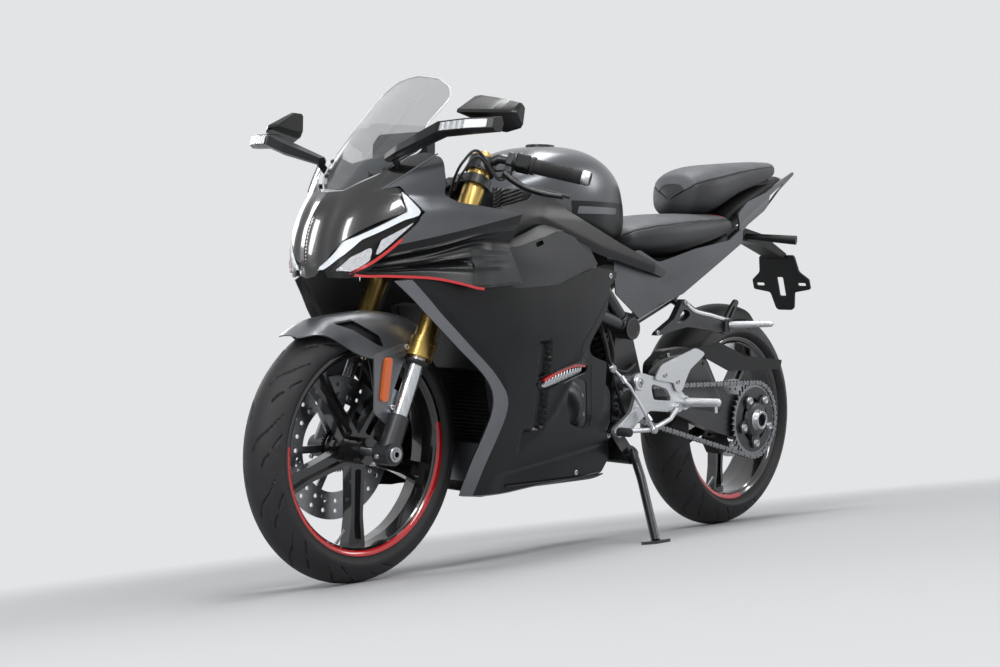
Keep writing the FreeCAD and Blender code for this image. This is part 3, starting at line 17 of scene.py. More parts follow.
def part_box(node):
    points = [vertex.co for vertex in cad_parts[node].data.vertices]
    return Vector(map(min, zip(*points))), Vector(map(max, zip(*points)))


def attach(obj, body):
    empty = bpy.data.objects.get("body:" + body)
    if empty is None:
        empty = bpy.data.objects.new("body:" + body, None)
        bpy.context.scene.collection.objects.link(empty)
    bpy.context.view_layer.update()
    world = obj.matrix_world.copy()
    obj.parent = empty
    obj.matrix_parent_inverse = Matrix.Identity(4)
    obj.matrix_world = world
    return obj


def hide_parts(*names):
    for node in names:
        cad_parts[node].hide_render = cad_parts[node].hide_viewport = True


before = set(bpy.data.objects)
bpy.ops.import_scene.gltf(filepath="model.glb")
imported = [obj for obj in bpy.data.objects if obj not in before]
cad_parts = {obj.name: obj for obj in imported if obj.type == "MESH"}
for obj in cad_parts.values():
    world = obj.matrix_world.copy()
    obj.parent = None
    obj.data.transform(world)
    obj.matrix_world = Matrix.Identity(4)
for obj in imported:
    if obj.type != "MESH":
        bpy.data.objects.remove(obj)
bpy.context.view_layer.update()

# %% [markdown]
# The bike is drawn upright in millimetres, X forward, Y to the rider's left, with the front axle
# above X = 0, because a motorcycle's drawings are made that way. The real bike leans on its stand,
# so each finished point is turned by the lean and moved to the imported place. The front axle lies
# across the middle of the bike, so the middle of its box tells where the drawing's axle now is.

# %% From the upright drawing to the parked bike
MM = 0.001
LEAN = math.radians(10)
LEANED = np.array([[1, 0, 0], [0, math.cos(LEAN), math.sin(LEAN)], [0, -math.sin(LEAN), math.cos(LEAN)]])
FRONT_Z, REAR_Z, REAR_X = 293.0, 306.0, -1395.0
low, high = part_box("front_axle")
AXLE_MIDDLE = (np.array(low) + np.array(high)) / 2
MOVED = AXLE_MIDDLE - LEANED @ (np.array([0, 0, FRONT_Z]) * MM)


def parked(points):
    """Rows of upright drawing points in mm, as leaned places in metres: turn by the lean, then move."""
    return np.asarray(points, float) @ LEANED.T * MM + MOVED


print("drawing moved by", np.round(MOVED, 4))

# %% [markdown]
# The camera stands low in front of the bike's left side, with a long lens. Its place was found by
# matching the wheels, the lamp and the pegs in the photograph. The photograph shows the bike upright, so
# the camera is leaned with the bike and sees the same picture.

# %% Camera
CAMERA_AT = (2349.8, 2554.6, 643.8)
CAMERA_AZIMUTH, CAMERA_ELEVATION, CAMERA_ROLL = -2.4053, -0.0256, 0.0218
FOCAL_PIXELS, PICTURE_WIDTH, SENSOR_MM, FAR_METRES = 1576.4, 1000, 36.0, 60


def camera_axes():
    """Right, up and back of the camera in the upright drawing: its aim's level frame, rolled about the aim."""
    aim = np.array([math.cos(CAMERA_ELEVATION) * math.cos(CAMERA_AZIMUTH),
                    math.cos(CAMERA_ELEVATION) * math.sin(CAMERA_AZIMUTH), math.sin(CAMERA_ELEVATION)])
    right = np.cross(aim, (0, 0, 1))
    right = right / np.linalg.norm(right)
    up = np.cross(right, aim)
    c, s = math.cos(CAMERA_ROLL), math.sin(CAMERA_ROLL)
    return np.array([c * right + s * up, c * up - s * right, -aim])


camera_data = bpy.data.cameras.new("camera")
camera = bpy.data.objects.new("camera", camera_data)
bpy.context.collection.objects.link(camera)
pose = np.eye(4)
pose[:3, :3] = (camera_axes() @ LEANED.T).T
pose[:3, 3] = parked(CAMERA_AT)
camera.matrix_world = Matrix(pose.tolist())
camera_data.sensor_width = SENSOR_MM
camera_data.lens = FOCAL_PIXELS / PICTURE_WIDTH * SENSOR_MM
camera_data.clip_end = FAR_METRES
bpy.context.scene.camera = camera
print("lens", round(camera_data.lens, 1), "mm at", np.round(camera.location, 2))

# %% [markdown]
# The studio is a pale floor that fades into a pale backdrop. Large soft lamps give dark bodywork
# long clean highlights, which is how its curves are read. The backdrop is bright only for rays that
# see it straight, through glass or in a gloss skin. The light that it sheds on the bike is darker.

# %% Helpers for materials


def tint(hex_colour):
    """sRGB hex to linear RGBA: ((c + 0.055) / 1.055) ** 2.4 above 0.04045, else c / 12.92."""
    values = [int(hex_colour[k:k + 2], 16) / 255 for k in (0, 2, 4)]
    return tuple(((v + 0.055) / 1.055) ** 2.4 if v > 0.04045 else v / 12.92 for v in values) + (1.0,)


def join(output, socket):
    """Links an output to an input socket."""
    output.id_data.links.new(output, socket)


def add_node(owner, kind, settings=None, **links):
    """Adds one node: a setting is the node's own or a socket's, and a link names its socket, or its number as i0."""
    node = owner.node_tree.nodes.new("ShaderNode" + kind)
    for name, value in (settings or {}).items():
        if hasattr(node, name):
            setattr(node, name, value)
        else:
            node.inputs[name].default_value = value
    for name, output in links.items():
        label = name.replace("_", " ")
        join(output, node.inputs[label if label in node.inputs else int(name.strip("i"))])
    return node


def new_material(name, colour, roughness, metallic=0.0, **sockets):
    """A Principled material with its plain values, returned with its shader."""
    material = bpy.data.materials.new(name)
    material.use_nodes = True
    shader = material.node_tree.nodes["Principled BSDF"]
    shader.inputs["Base Color"].default_value = tint(colour)
    shader.inputs["Roughness"].default_value = roughness
    shader.inputs["Metallic"].default_value = metallic
    for socket, value in sockets.items():
        shader.inputs[socket.replace("_", " ")].default_value = value
    return material, shader


# %% Floor, backdrop and lamps
BACKDROP, BOUNCED_LIGHT = "e3e4e6", "6a6d70"
FLOOR_HALF = 40.0


def stage_material():
    """Pale painted floor that turns into the even backdrop colour between 1.2 and 2.8 m from the bike."""
    material, shader = new_material("pale_studio_floor", "bfc0c2", 0.85)
    place = add_node(material, "TexCoord").outputs["Object"]
    away = add_node(material, "VectorMath", {"operation": "LENGTH"}, Vector=place).outputs["Value"]
    fade = add_node(material, "MapRange", {"interpolation_type": "SMOOTHSTEP", "From Min": 1.2, "From Max": 2.8},
                    Value=away).outputs["Result"]
    glow = add_node(material, "Emission", {"Color": tint(BACKDROP), "Strength": 1.0})
    blend = add_node(material, "MixShader", Fac=fade, i1=shader.outputs["BSDF"], i2=glow.outputs["Emission"])
    join(blend.outputs["Shader"], material.node_tree.nodes["Material Output"].inputs["Surface"])
    return material


def build_floor(half):
    """Level sheet under the bike, wide enough to fill every view."""
    mesh = bpy.data.meshes.new("studio_floor")
    mesh.from_pydata([(-half, -half, 0), (half, -half, 0), (half, half, 0), (-half, half, 0)], [], [(0, 1, 2, 3)])
    floor = bpy.data.objects.new("studio_floor", mesh)
    bpy.context.collection.objects.link(floor)
    mesh.materials.append(stage_material())


def add_lamp(name, place, aim, wide, high, power):
    """Rectangular soft box that faces a point."""
    data = bpy.data.lights.new(name, "AREA")
    data.shape = "RECTANGLE"
    data.size, data.size_y, data.energy = wide, high, power
    lamp = bpy.data.objects.new(name, data)
    lamp.location = place
    lamp.rotation_euler = (Vector(aim) - Vector(place)).to_track_quat("-Z", "Y").to_euler()
    bpy.context.collection.objects.link(lamp)


build_floor(FLOOR_HALF)
add_lamp("key_soft_box", (1.6, 3.4, 2.9), (0.1, 0, 0.6), 2.2, 0.5, 70)
add_lamp("front_strip", (3.4, 0.9, 1.7), (0.4, 0, 0.7), 0.35, 2.2, 40)
add_lamp("rear_strip", (-3.0, 2.6, 2.0), (-0.5, 0, 0.6), 0.4, 2.2, 40)
add_lamp("overhead_soft_box", (-0.2, 0.3, 3.2), (0, 0, 0.5), 3.0, 0.7, 60)
add_lamp("far_side_fill", (0.2, -3.4, 2.2), (0, 0, 0.5), 3.0, 1.0, 40)

world = bpy.data.worlds.new("studio_world")
bpy.context.scene.world = world
world.use_nodes = True
ray = add_node(world, "LightPath").outputs
direct = add_node(world, "Math", {"operation": "MAXIMUM"}, i0=ray["Is Camera Ray"], i1=ray["Is Transmission Ray"])
seen = add_node(world, "Math", {"operation": "MAXIMUM"}, i0=direct.outputs[0], i1=ray["Is Glossy Ray"])
sky = add_node(world, "Mix", {"data_type": "RGBA", "A": tint(BOUNCED_LIGHT), "B": tint(BACKDROP)},
               Factor=seen.outputs[0])
join(sky.outputs["Result"], world.node_tree.nodes["Background"].inputs["Color"])
bpy.context.scene.view_settings.view_transform = "Standard"
print(len(bpy.data.lights), "lamps")

# %% [markdown]
# Every new piece is worked out as arrays of points in the upright drawing, in millimetres. A few
# makers cover all of them: a grid of two parameters, a profile carried along a path, a profile
# turned about an axis, and an outline filled with a grid and lifted onto a surface. Reliefs on them
# are bell curves and smooth steps. Several such parts can be one object. Modifiers then finish the
# edges, because a real moulding has no sharp ones.

# %% Points and faces
ROW_SHARE, EDGE_SHARE = 0.866, 0.45  # rows of equal triangles, and the least gap to an edge, in steps


def unit(rows):
    """Vectors scaled to length 1."""
    return rows / np.linalg.norm(rows, axis=-1, keepdims=True)


def turns(count):
    """Angles of a full turn in even steps."""
    return np.linspace(0, 2 * np.pi, count, endpoint=False)


def bump(value, centre, width):
    """Bell curve: exp(-((value - centre) / width)^2)."""
    return np.exp(-((value - centre) / width) ** 2)


def ease(value, low, high):
    """Smooth step from 0 at low to 1 at high: t * t * (3 - 2 t)."""
    t = np.clip((value - low) / np.maximum(high - low, 1e-6), 0, 1)
    return t * t * (3 - 2 * t)


def band(value, low, high, soft):
    """1 between two values and 0 outside them, with soft sides."""
    return ease(value, low - soft, low + soft) * (1 - ease(value, high - soft, high + soft))


def grid_faces(rows, columns, close_rows, close_columns):
    """Quads between neighbours of a rows x columns grid; a closed way joins its last line to its first."""
    r = np.arange(rows if close_rows else rows - 1)[:, None]
    c = np.arange(columns if close_columns else columns - 1)[None, :]
    r2, c2 = (r + 1) % rows, (c + 1) % columns
    quads = np.stack([r * columns + c + 0 * r2, r2 * columns + c, r2 * columns + c2, r * columns + c2 + 0 * r2], -1)
    return quads.reshape(-1, 4)


def surface(points, close_rows=False, close_columns=False):
    """A grid of points, shape (rows, columns, 3), with its faces."""
    rows, columns = points.shape[:2]
    return points.reshape(-1, 3), grid_faces(rows, columns, close_rows, close_columns).tolist()


def curve_through(corners, count, closed=False):
    """Even steps along a smooth curve: Catmull-Rom, p(t) = half of [1 t t2 t3] M [four neighbours]."""
    p = np.asarray(corners, float)
    n = len(p)
    spans = n if closed else n - 1
    t = np.linspace(0, spans, count, endpoint=not closed)
    k = np.minimum(t.astype(int), spans - 1)
    f = (t - k)[:, None]
    pick = [(k + d) % n if closed else np.clip(k + d, 0, n - 1) for d in (-1, 0, 1, 2)]
    a, b, c, d = (p[i] for i in pick)
    return 0.5 * (2 * b + (c - a) * f + (2 * a - 5 * b + 4 * c - d) * f ** 2 + (3 * b - a - 3 * c + d) * f ** 3)


def frames_along(path, hint=(0, 0, 1)):
    """Two unit vectors across a path at each point, the second one nearest to the hint."""
    ahead = unit(np.gradient(path, axis=0))
    side = unit(np.cross(ahead, np.asarray(hint, float)))
    return side, np.cross(side, ahead)


def closed_ends(grid):
    """Closed sections one after another, with a flat polygon over each end."""
    verts, faces = surface(grid, close_columns=True)
    n, total = grid.shape[1], len(verts)
    return verts, faces + [list(range(n)), list(range(total - 1, total - n - 1, -1))]


def carried(profile, path, hint=(0, 0, 1), scale=None):
    """Closed (a, b) profile carried along a path: point = path + scale * (a * side + b * up), with flat ends."""
    side, up = frames_along(path, hint)
    size = np.ones(len(path)) if scale is None else np.asarray(scale)
    a, b = profile[:, 0], profile[:, 1]
    across = side[:, None] * a[None, :, None] + up[:, None] * b[None, :, None]
    return closed_ends(path[:, None] + across * size[:, None, None])


def circle(radius, count):
    """Closed ring of (a, b) points."""
    return radius * np.stack([np.cos(turns(count)), np.sin(turns(count))], 1)


def pipe(corners, radius, count, sides):
    """Round bar along a smooth curve through its corners."""
    return carried(circle(radius, sides), curve_through(corners, count))


def turned(profile, place, axis=(0, 1, 0), count=32, span=(0, 2 * np.pi)):
    """(along, radius) profile turned about an axis through a place; the span may be part of a turn."""
    along = unit(np.asarray(axis, float))
    first = unit(np.cross(along, (0, 0, 1) if abs(along[2]) < 0.9 else (1, 0, 0)))
    second = np.cross(along, first)
    whole = abs(span[1] - span[0] - 2 * np.pi) < 1e-6
    turn = np.linspace(span[0], span[1], count, endpoint=not whole)
    p = np.asarray(profile, float)
    spokes = first * np.cos(turn)[:, None] + second * np.sin(turn)[:, None]
    grid = np.asarray(place, float) + p[None, :, 0, None] * along + p[None, :, 1, None] * spokes[:, None]
    return surface(grid, close_rows=whole)


def rounded(corners, arc_steps=6):
    """Closed outline with rounded corners: a corner is (a, b) or (a, b, radius)."""
    points = []
    count = len(corners)
    for k, corner in enumerate(corners):
        here = np.array(corner[:2], float)
        back = np.array(corners[k - 1][:2], float) - here
        ahead = np.array(corners[(k + 1) % count][:2], float) - here
        radius = corner[2] if len(corner) > 2 else 0
        lengths = np.linalg.norm(back), np.linalg.norm(ahead)
        back, ahead = back / lengths[0], ahead / lengths[1]
        half = math.acos(np.clip(back @ ahead, -1, 1)) / 2
        reach = min(radius / math.tan(half) if radius else 0, 0.48 * min(lengths))
        if reach < 0.05:
            points.append(here[None])
            continue
        t = np.linspace(0, 1, arc_steps)[:, None]
        points.append(here + back * reach * (1 - t) ** 2 + ahead * reach * t ** 2)
    return np.concatenate(points)


def run_lengths(path):
    """Distance along a path at each of its points."""
    return np.concatenate([[0], np.cumsum(np.linalg.norm(np.diff(path, axis=0), axis=1))])


def dense(outline, step):
    """The same closed outline with points at most a step apart."""
    ring = np.concatenate([outline, outline[:1]])
    length = run_lengths(ring)
    even = np.arange(0, length[-1], step)
    spots = np.union1d(length[:-1], even)
    spots = spots[np.concatenate([[True], np.diff(spots) > step * 0.2])]
    return np.stack([np.interp(spots, length, ring[:, 0]), np.interp(spots, length, ring[:, 1])], 1)


def inside(points, outline):
    """Which points lie in a closed outline: an odd number of its edges crosses the level line to the right."""
    x, y = points[:, 0, None], points[:, 1, None]
    x1, y1 = outline[:, 0], outline[:, 1]
    x2, y2 = np.roll(x1, -1), np.roll(y1, -1)
    spans = (y1 > y) != (y2 > y)
    cross = x < (x2 - x1) * (y - y1) / np.where(y2 == y1, 1e-9, y2 - y1) + x1
    return (spans & cross).sum(1) % 2 == 1


def nearest(spots, line, chunk=4000):
    """Least distance from each point to a line given by many points, in chunks to spare memory."""
    return np.concatenate([np.linalg.norm(part[:, None] - line[None], axis=2).min(1)
                           for part in np.array_split(spots, max(1, len(spots) // chunk))])


def between_rings(points, rings):
    """Which points lie in the first ring and in none of the others."""
    held = inside(points, rings[0])
    for hole in rings[1:]:
        held &= ~inside(points, hole)
    return held


def filled(outline, holes, step):
    """Triangles that fill an outline round its holes, on a grid of points a step apart."""
    rings = [dense(ring, step) for ring in (outline, *holes)]
    (left, low), (right, high) = rings[0].min(0), rings[0].max(0)
    gx, gy = np.meshgrid(np.arange(left, right, step), np.arange(low, high, step * ROW_SHARE))
    gx = gx + (np.arange(gx.shape[0]) % 2)[:, None] * step / 2
    spots = np.stack([gx.ravel(), gy.ravel()], 1)
    edge = np.concatenate(rings)
    spots = spots[between_rings(spots, rings) & (nearest(spots, edge) > step * EDGE_SHARE)]
    edges, start = [], 0
    for ring in rings:
        n = len(ring)
        edges += [(start + k, start + (k + 1) % n) for k in range(n)]
        start += n
    got = delaunay_2d_cdt([Vector(v) for v in np.concatenate([edge, spots])], edges, [], 0, 1e-4, False)
    flat = np.array([tuple(v) for v in got[0]])
    faces = np.array([tuple(f) for f in got[2]])
    return flat, faces[between_rings(flat[faces].mean(1), rings)]


def lifted(outline, depth, holes, step, plane):
    """Filled outline lifted onto a surface: side (x, z) to y, top (x, y) to z, or front (y, z) to x."""
    flat, faces = filled(outline, holes, step)
    a, b = flat[:, 0], flat[:, 1]
    far = depth(a, b) if callable(depth) else np.full(len(a), float(depth))
    order = {"side": (a, far, b), "top": (a, b, far), "front": (far, a, b)}[plane]
    return np.stack(order, 1), faces.tolist()


def thick(part, push):
    """Closed plate from an open sheet: a copy of its faces pushed along a vector, and a wall round each edge."""
    verts, faces = part
    n = len(verts)
    tri = np.asarray(faces)
    sides = np.concatenate([tri[:, [k, (k + 1) % tri.shape[1]]] for k in range(tri.shape[1])])
    _, index, count = np.unique(np.sort(sides, 1), axis=0, return_index=True, return_counts=True)
    rim = sides[index[count == 1]]
    walls = np.stack([rim[:, 1], rim[:, 0], rim[:, 0] + n, rim[:, 1] + n], 1)
    both = np.concatenate([verts, verts + np.asarray(push, float)])
    return both, tri[:, ::-1].tolist() + (tri + n).tolist() + walls.tolist()


def sheet(corners, depth, push, step, holes=(), plane="side"):
    """Thin moulding: a rounded outline with rounded holes, lifted onto a surface and pushed along the view's axis."""
    way = push if np.ndim(push) else {"side": (0, push, 0), "top": (0, 0, push), "front": (push, 0, 0)}[plane]
    return thick(lifted(rounded(corners), depth, [rounded(hole) for hole in holes], step, plane), way)


def laid(points, skin, off):
    """Points (x, z) of the side view laid on a surface, off it by some millimetres."""
    x, z = np.asarray(points, float).T
    return np.stack([x, skin(x, z) + off, z], 1)


def between(first, second, shares):
    """Grid between two lines of points: p = (1 - s) first + s second."""
    s = np.asarray(shares)[None, :, None]
    return first[:, None] * (1 - s) + second[:, None] * s


def symmetric(first, half, last):
    """Whole front outline from its half: a corner on the centre line at each end, and the half mirrored."""
    return [first] + half + [last] + [(-corner[0],) + corner[1:] for corner in reversed(half)]


def opposite(part):
    """The other side's copy: y becomes -y, and each face runs the other way round."""
    verts, faces = part
    return verts * (1, -1, 1), [list(face)[::-1] for face in faces]


def pair(*parts):
    """Parts with their opposites."""
    return list(parts) + [opposite(part) for part in parts]


def around_axle(part, count, centre, first):
    """Copies of a part turned about a wheel's axle by equal steps, from a first angle in degrees."""
    verts, faces = part
    centre = np.asarray(centre, float)
    copies = []
    for k in range(count):
        turn = np.array(Matrix.Rotation(math.radians(360 / count * k + first), 3, "Y"))
        copies.append(((verts - centre) @ turn.T + centre, faces))
    return copies


# %% From points to a finished object
SHARP, WELD = math.radians(38), 2e-5


def make(name, body, material, parts, bevel=0.0, segments=2):
    """One object of several parts, riding on a body, with its edges broken by a bevel where one is given."""
    verts, faces, start = [], [], 0
    for part_verts, part_faces in parts:
        verts.append(part_verts)
        faces += [[start + k for k in face] for face in part_faces]
        start += len(part_verts)
    mesh = bpy.data.meshes.new(name)
    mesh.from_pydata(parked(np.concatenate(verts)).tolist(), [], faces)
    work = bmesh.new()
    work.from_mesh(mesh)
    bmesh.ops.remove_doubles(work, verts=work.verts, dist=WELD)
    bmesh.ops.recalc_face_normals(work, faces=work.faces)
    work.to_mesh(mesh)
    work.free()
    mesh.validate()
    mesh.shade_smooth()
    mesh.set_sharp_from_angle(angle=SHARP)
    mesh.materials.append(material)
    item = bpy.data.objects.new(name, mesh)
    bpy.context.collection.objects.link(item)
    if bevel:
        edge = item.modifiers.new("edges", "BEVEL")
        edge.width, edge.segments, edge.limit_method = bevel * MM, segments, "ANGLE"
        edge.angle_limit, edge.harden_normals = SHARP, False
    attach(item, body)
    print(name, len(mesh.polygons), "faces")
    return item


# %% [markdown]
# Paints, plastics, rubber and metals come next. Each starts from its typical colour, index and
# roughness, and is then matched to the photograph. Each pattern has a size in mm, drawn coarser than
# life so that it still shows in a picture this size: paint's orange peel is 7 mm where real paint has
# about 3, a moulded grain 1.1 mm and more where real plastic has 0.5, a weave's tow 3.2 mm, not 2.

# %% Patterns on the surface


def spots_per_metre(size_mm):
    """Scale of a pattern node, in waves per metre, whose features are a real size in mm."""
    return 1000.0 / size_mm


def rough_grain(material, shader, grain_mm, strength, gloss, detail, place=None, deep=0.0004):
    """Fine bump and a slight change of gloss from one noise of a real grain size; gives the noise back."""
    place = place or add_node(material, "TexCoord").outputs["Object"]
    noise = add_node(material, "TexNoise", {"Scale": spots_per_metre(grain_mm), "Detail": detail}, Vector=place)
    noise = noise.outputs["Fac"]
    if strength:
        relief = add_node(material, "Bump", {"Strength": strength, "Distance": deep}, Height=noise)
        join(relief.outputs["Normal"], shader.inputs["Normal"])
    spread = add_node(material, "MapRange", {"To Min": gloss[0], "To Max": gloss[1]}, Value=noise)
    join(spread.outputs["Result"], shader.inputs["Roughness"])
    return noise


def two_tones(material, shader, tones, patch_mm=None, pattern=None, low=0.35, high=0.65):
    """Change between two colours, by a given pattern or by a slow noise of a real patch size."""
    if pattern is None:
        place = add_node(material, "TexCoord").outputs["Object"]
        patches = add_node(material, "TexNoise", {"Scale": spots_per_metre(patch_mm), "Detail": 4.0}, Vector=place)
        pattern = patches.outputs["Fac"]
    blend = add_node(material, "ValToRGB", Fac=pattern)
    for stop, spot, tone in zip(blend.color_ramp.elements, (low, high), tones):
        stop.position, stop.color = spot, tint(tone)
    join(blend.outputs["Color"], shader.inputs["Base Color"])


def coated(name, tones, roughness, patch_mm, grain_mm, strength, spread, metallic=0.0, detail=3.0, **sockets):
    """Skin of two close tones with one grain: the spread says how far the roughness goes below and above."""
    material, shader = new_material(name, tones[0], roughness, metallic, **sockets)
    two_tones(material, shader, tones, patch_mm)
    less, more = spread
    rough_grain(material, shader, grain_mm, strength, (roughness - less, roughness + more), detail)
    return material


# %% Paints and plastics
def matte_paint(name, tones, roughness):
    """Metallic base under a satin clear coat: flakes, drawn at 0.9 mm, glint under a broad highlight."""
    return coated(name, tones, roughness, 160, 0.9, 0.05, (0.05, 0.06), 0.8, Coat_Weight=0.3, Coat_Roughness=0.22)


def gloss_paint(name, *tones):
    """Solid colour under a deep clear coat: a mirror-like skin with a faint 7 mm orange peel."""
    return coated(name, tones, 0.22, 220, 7.0, 0.03, (0.04, 0.04), detail=1.0, Coat_Weight=1.0, Coat_Roughness=0.03)


def moulded_plastic(name, tones, roughness, grain_mm=1.1, strength=0.18):
    """Injection-moulded polymer: an even dark colour, a fine leather-like grain and a soft sheen."""
    return coated(name, tones, roughness, 90, grain_mm, strength, (0.06, 0.08), Specular_IOR_Level=0.32)


graphite_paint = matte_paint("graphite_satin_paint", ("515356", "5a5c60"), 0.3)
pale_graphite_paint = matte_paint("pale_graphite_satin_paint", ("6a6c70", "76787c"), 0.34)
nose_black_paint = gloss_paint("black_gloss_paint", "060607", "0b0b0d")
wheel_black_paint = gloss_paint("black_wheel_enamel", "070708", "0c0c0e")
panel_black = moulded_plastic("black_satin_abs", ("0c0d0e", "121315"), 0.3, 1.4, 0.05)
grained_black = moulded_plastic("black_grained_polypropylene", ("0c0d0e", "131416"), 0.5)
red_film = gloss_paint("red_vinyl_film", "b40f16", "c4151c")


# %% Carbon-look panels
def carbon_weave(name, tones, tow_mm=3.2):
    """Printed twill: squares of a tow's width, each crossing its neighbours, under a satin coat."""
    material, shader = new_material(name, tones[1], 0.52, Specular_IOR_Level=0.3, Coat_Weight=0.12,
                                    Coat_Roughness=0.36)
    place = add_node(material, "TexCoord").outputs["Object"]
    across = add_node(material, "Mapping", {"Rotation": (0, math.radians(45), 0)}, Vector=place).outputs["Vector"]
    check = add_node(material, "TexChecker", {"Scale": spots_per_metre(tow_mm), "Color1": tint(tones[0]),
                                              "Color2": tint(tones[1])}, Vector=across)
    join(check.outputs["Color"], shader.inputs["Base Color"])
    relief = add_node(material, "Bump", {"Strength": 0.35, "Distance": 0.0006}, Height=check.outputs["Fac"])
    join(relief.outputs["Normal"], shader.inputs["Normal"])
    return material


carbon_look = carbon_weave("carbon_look_film", ("08090a", "1f2124"))


# %% Metals
def machined(name, tones, roughness, grain_mm, stretch=(1, 1, 1), strength=0.12):
    """Bare or coated metal: tool marks as a noise stretched along the cut, in colour, in gloss and in relief."""
    material, shader = new_material(name, tones[0], roughness, 1.0)
    place = add_node(material, "TexCoord").outputs["Object"]
    along_cut = add_node(material, "Mapping", {"Scale": stretch}, Vector=place).outputs["Vector"]
    gloss = (roughness - 0.07, roughness + 0.08)
    marks = rough_grain(material, shader, grain_mm, strength, gloss, 3.0, along_cut, 0.0002)
    two_tones(material, shader, tones, pattern=marks, low=0.3, high=0.7)
    return material


DRAWN = (1, 1, 0.04)  # marks run along the fork's tubes
gold_anodised = machined("gold_anodised_aluminium", ("b89a58", "c4a765"), 0.3, 3.0, DRAWN, 0.02)
hard_chrome = machined("hard_chromed_steel", ("b9bbbe", "cfd1d4"), 0.2, 3.0, DRAWN, 0.01)
drilled_steel = machined("brake_disc_stainless_steel", ("8f9194", "a6a8ab"), 0.3, 1.2, (0.3, 1, 0.3))
blasted_alloy = machined("bead_blasted_aluminium", ("c2c4c7", "d0d2d4"), 0.4, 0.8)
zinc_steel = machined("zinc_plated_steel", ("9a9c9f", "c2c4c7"), 0.3, 1.5)
dark_steel = machined("blackened_steel", ("3a3b3d", "4d4e51"), 0.4, 1.5)
chain_steel = machined("oiled_chain_steel", ("77797c", "9b9da0"), 0.3, 1.5)
exhaust_steel = machined("brushed_stainless_steel", ("6e6a66", "8b8783"), 0.34, 1.2, (0.15, 1, 1))
bright_reflector = machined("vacuum_metallised_reflector", ("dfe1e4", "f2f3f5"), 0.1, 6.0)


def powder_coat(name, tones, roughness):
    """Baked powder on castings and tubes: satin black with a 1.8 mm pebbled skin."""
    return coated(name, tones, roughness, 60, 1.8, 0.16, (0.08, 0.06), Coat_Weight=0.3, Coat_Roughness=0.3)


black_powder = powder_coat("black_powder_coated_steel", ("0f1012", "161719"), 0.34)
cast_black = powder_coat("black_coated_cast_aluminium", ("131416", "1d1e20"), 0.46)
cast_grey = powder_coat("grey_coated_cast_aluminium", ("26272a", "303134"), 0.45)


# %% Rubber, glass and lenses
def rubber(name, tones, roughness, grain_mm=1.0):
    """Vulcanised compound: near black, dull, with a dusty bloom in patches of about 40 mm."""
    return coated(name, tones, roughness, 40, grain_mm, 0.2, (0.08, 0.1))


def see_through(name, colour, index, weight, alpha):
    """Clear or tinted polycarbonate or acrylic with a polished skin, which light passes through."""
    return new_material(name, colour, 0.02, Transmission_Weight=weight, IOR=index, Alpha=alpha)[0]


tyre_rubber = rubber("tyre_rubber", ("151517", "1d1d1f"), 0.62)
grip_rubber = rubber("grip_rubber", ("131315", "1a1a1c"), 0.7, 0.8)
hose_rubber = rubber("hose_rubber", ("0e0e10", "161618"), 0.5)
smoked_screen = see_through("smoked_polycarbonate", "8f9294", 1.2, 0.9, 0.42)
clear_lens = see_through("clear_polycarbonate_lens", "f4f5f6", 1.25, 1.0, 0.3)
amber_reflector = new_material("amber_acrylic_reflector", "d85f0a", 0.18, Coat_Weight=1.0)[0]
red_lens = new_material("red_acrylic_lens", "6e080b", 0.12, Coat_Weight=1.0)[0]
display_glass = new_material("black_display_glass", "050608", 0.05, Coat_Weight=1.0)[0]
mirror_glass = new_material("silvered_mirror_glass", "d8dadc", 0.02, 1.0)[0]
# Pale opaque colour for the screen's edge: a painted highlight for the light its polished edge gathers.
pale_edge_highlight_paint = new_material("pale_edge_painted_highlight", "d9dcde", 0.12, Coat_Weight=1.0)[0]
red_thread = new_material("red_polyester_thread", "b32424", 0.6)[0]
# The light guides' faint white emission is a painted highlight: a glow that stands in for the light they catch.
light_guide_painted_glow, painted_glow_shader = new_material("white_light_guide_painted_glow", "d4d8dc", 0.25, Emission_Strength=0.18)
painted_glow_shader.inputs["Emission Color"].default_value = tint("f4f7fa")
print(len(bpy.data.materials), "materials so far")

# %% [markdown]
# A tyre is moulded in a heated steel mould, and its tread slits are ribs of that mould. The crown is
# an arc across the wheel, and the sidewall a flatter arc down to the rim. The slits are cut into that
# surface as numbers: the distance from each grid point to a slit's curve sinks the point.

# %% Tyres with slits
def tyre_profile(radius, crown, rim_half, steps, wall_steps):
    """Across the tyre: a crown arc of 72 degrees each way, then a curve that bulges down to the rim's lip."""
    turn = np.radians(np.linspace(-72, 72, steps))
    tread = np.stack([crown * np.sin(turn), radius - crown + crown * np.cos(turn)], 1)
    top, foot = tread[-1], np.array([rim_half + 1.0, 229.0])
    middle = np.array([top[0] * 0.985, (top[1] + foot[1]) / 2])
    t = np.linspace(0, 1, wall_steps + 1)[1:, None]
    pull = 2 * middle - (top + foot) / 2
    wall = (1 - t) ** 2 * top + 2 * t * (1 - t) * pull + t ** 2 * foot
    rib = 0.7 * bump(wall[:, 1], 243, 2.2) + 0.5 * bump(wall[:, 1], 262, 1.6)
    wall = wall + np.stack([rib, 0 * rib], 1)
    inner = np.array([[rim_half - 4, 228.5], [rim_half - 8, 224.0]])
    half = np.concatenate([wall, inner])
    return np.concatenate([half[::-1] * (-1, 1), tread, half])


def slit_depths(along, across, pitch, slits, depth, count=26):
    """Depth at each point: deepest on a slit's line, and none past its half width, which tapers to both ends."""
    sunk = np.zeros(along.shape)
    for curve, width in slits:
        line = curve_through(curve, count)
        taper = width * np.sqrt(np.clip(np.sin(np.pi * np.linspace(0.04, 0.96, count)), 0, 1))
        for repeat in (-pitch, 0, pitch):
            far = np.hypot(along[..., None] - line[:, 0] - repeat, across[..., None] - line[:, 1])
            sunk = np.maximum(sunk, np.clip(1.15 - far / taper, 0, 1).max(-1))
    return depth * np.minimum(sunk * 1.6, 1)


TYRE_STEPS, WALL_STEPS, SLIT_DEPTH = 560, 9, 3.6


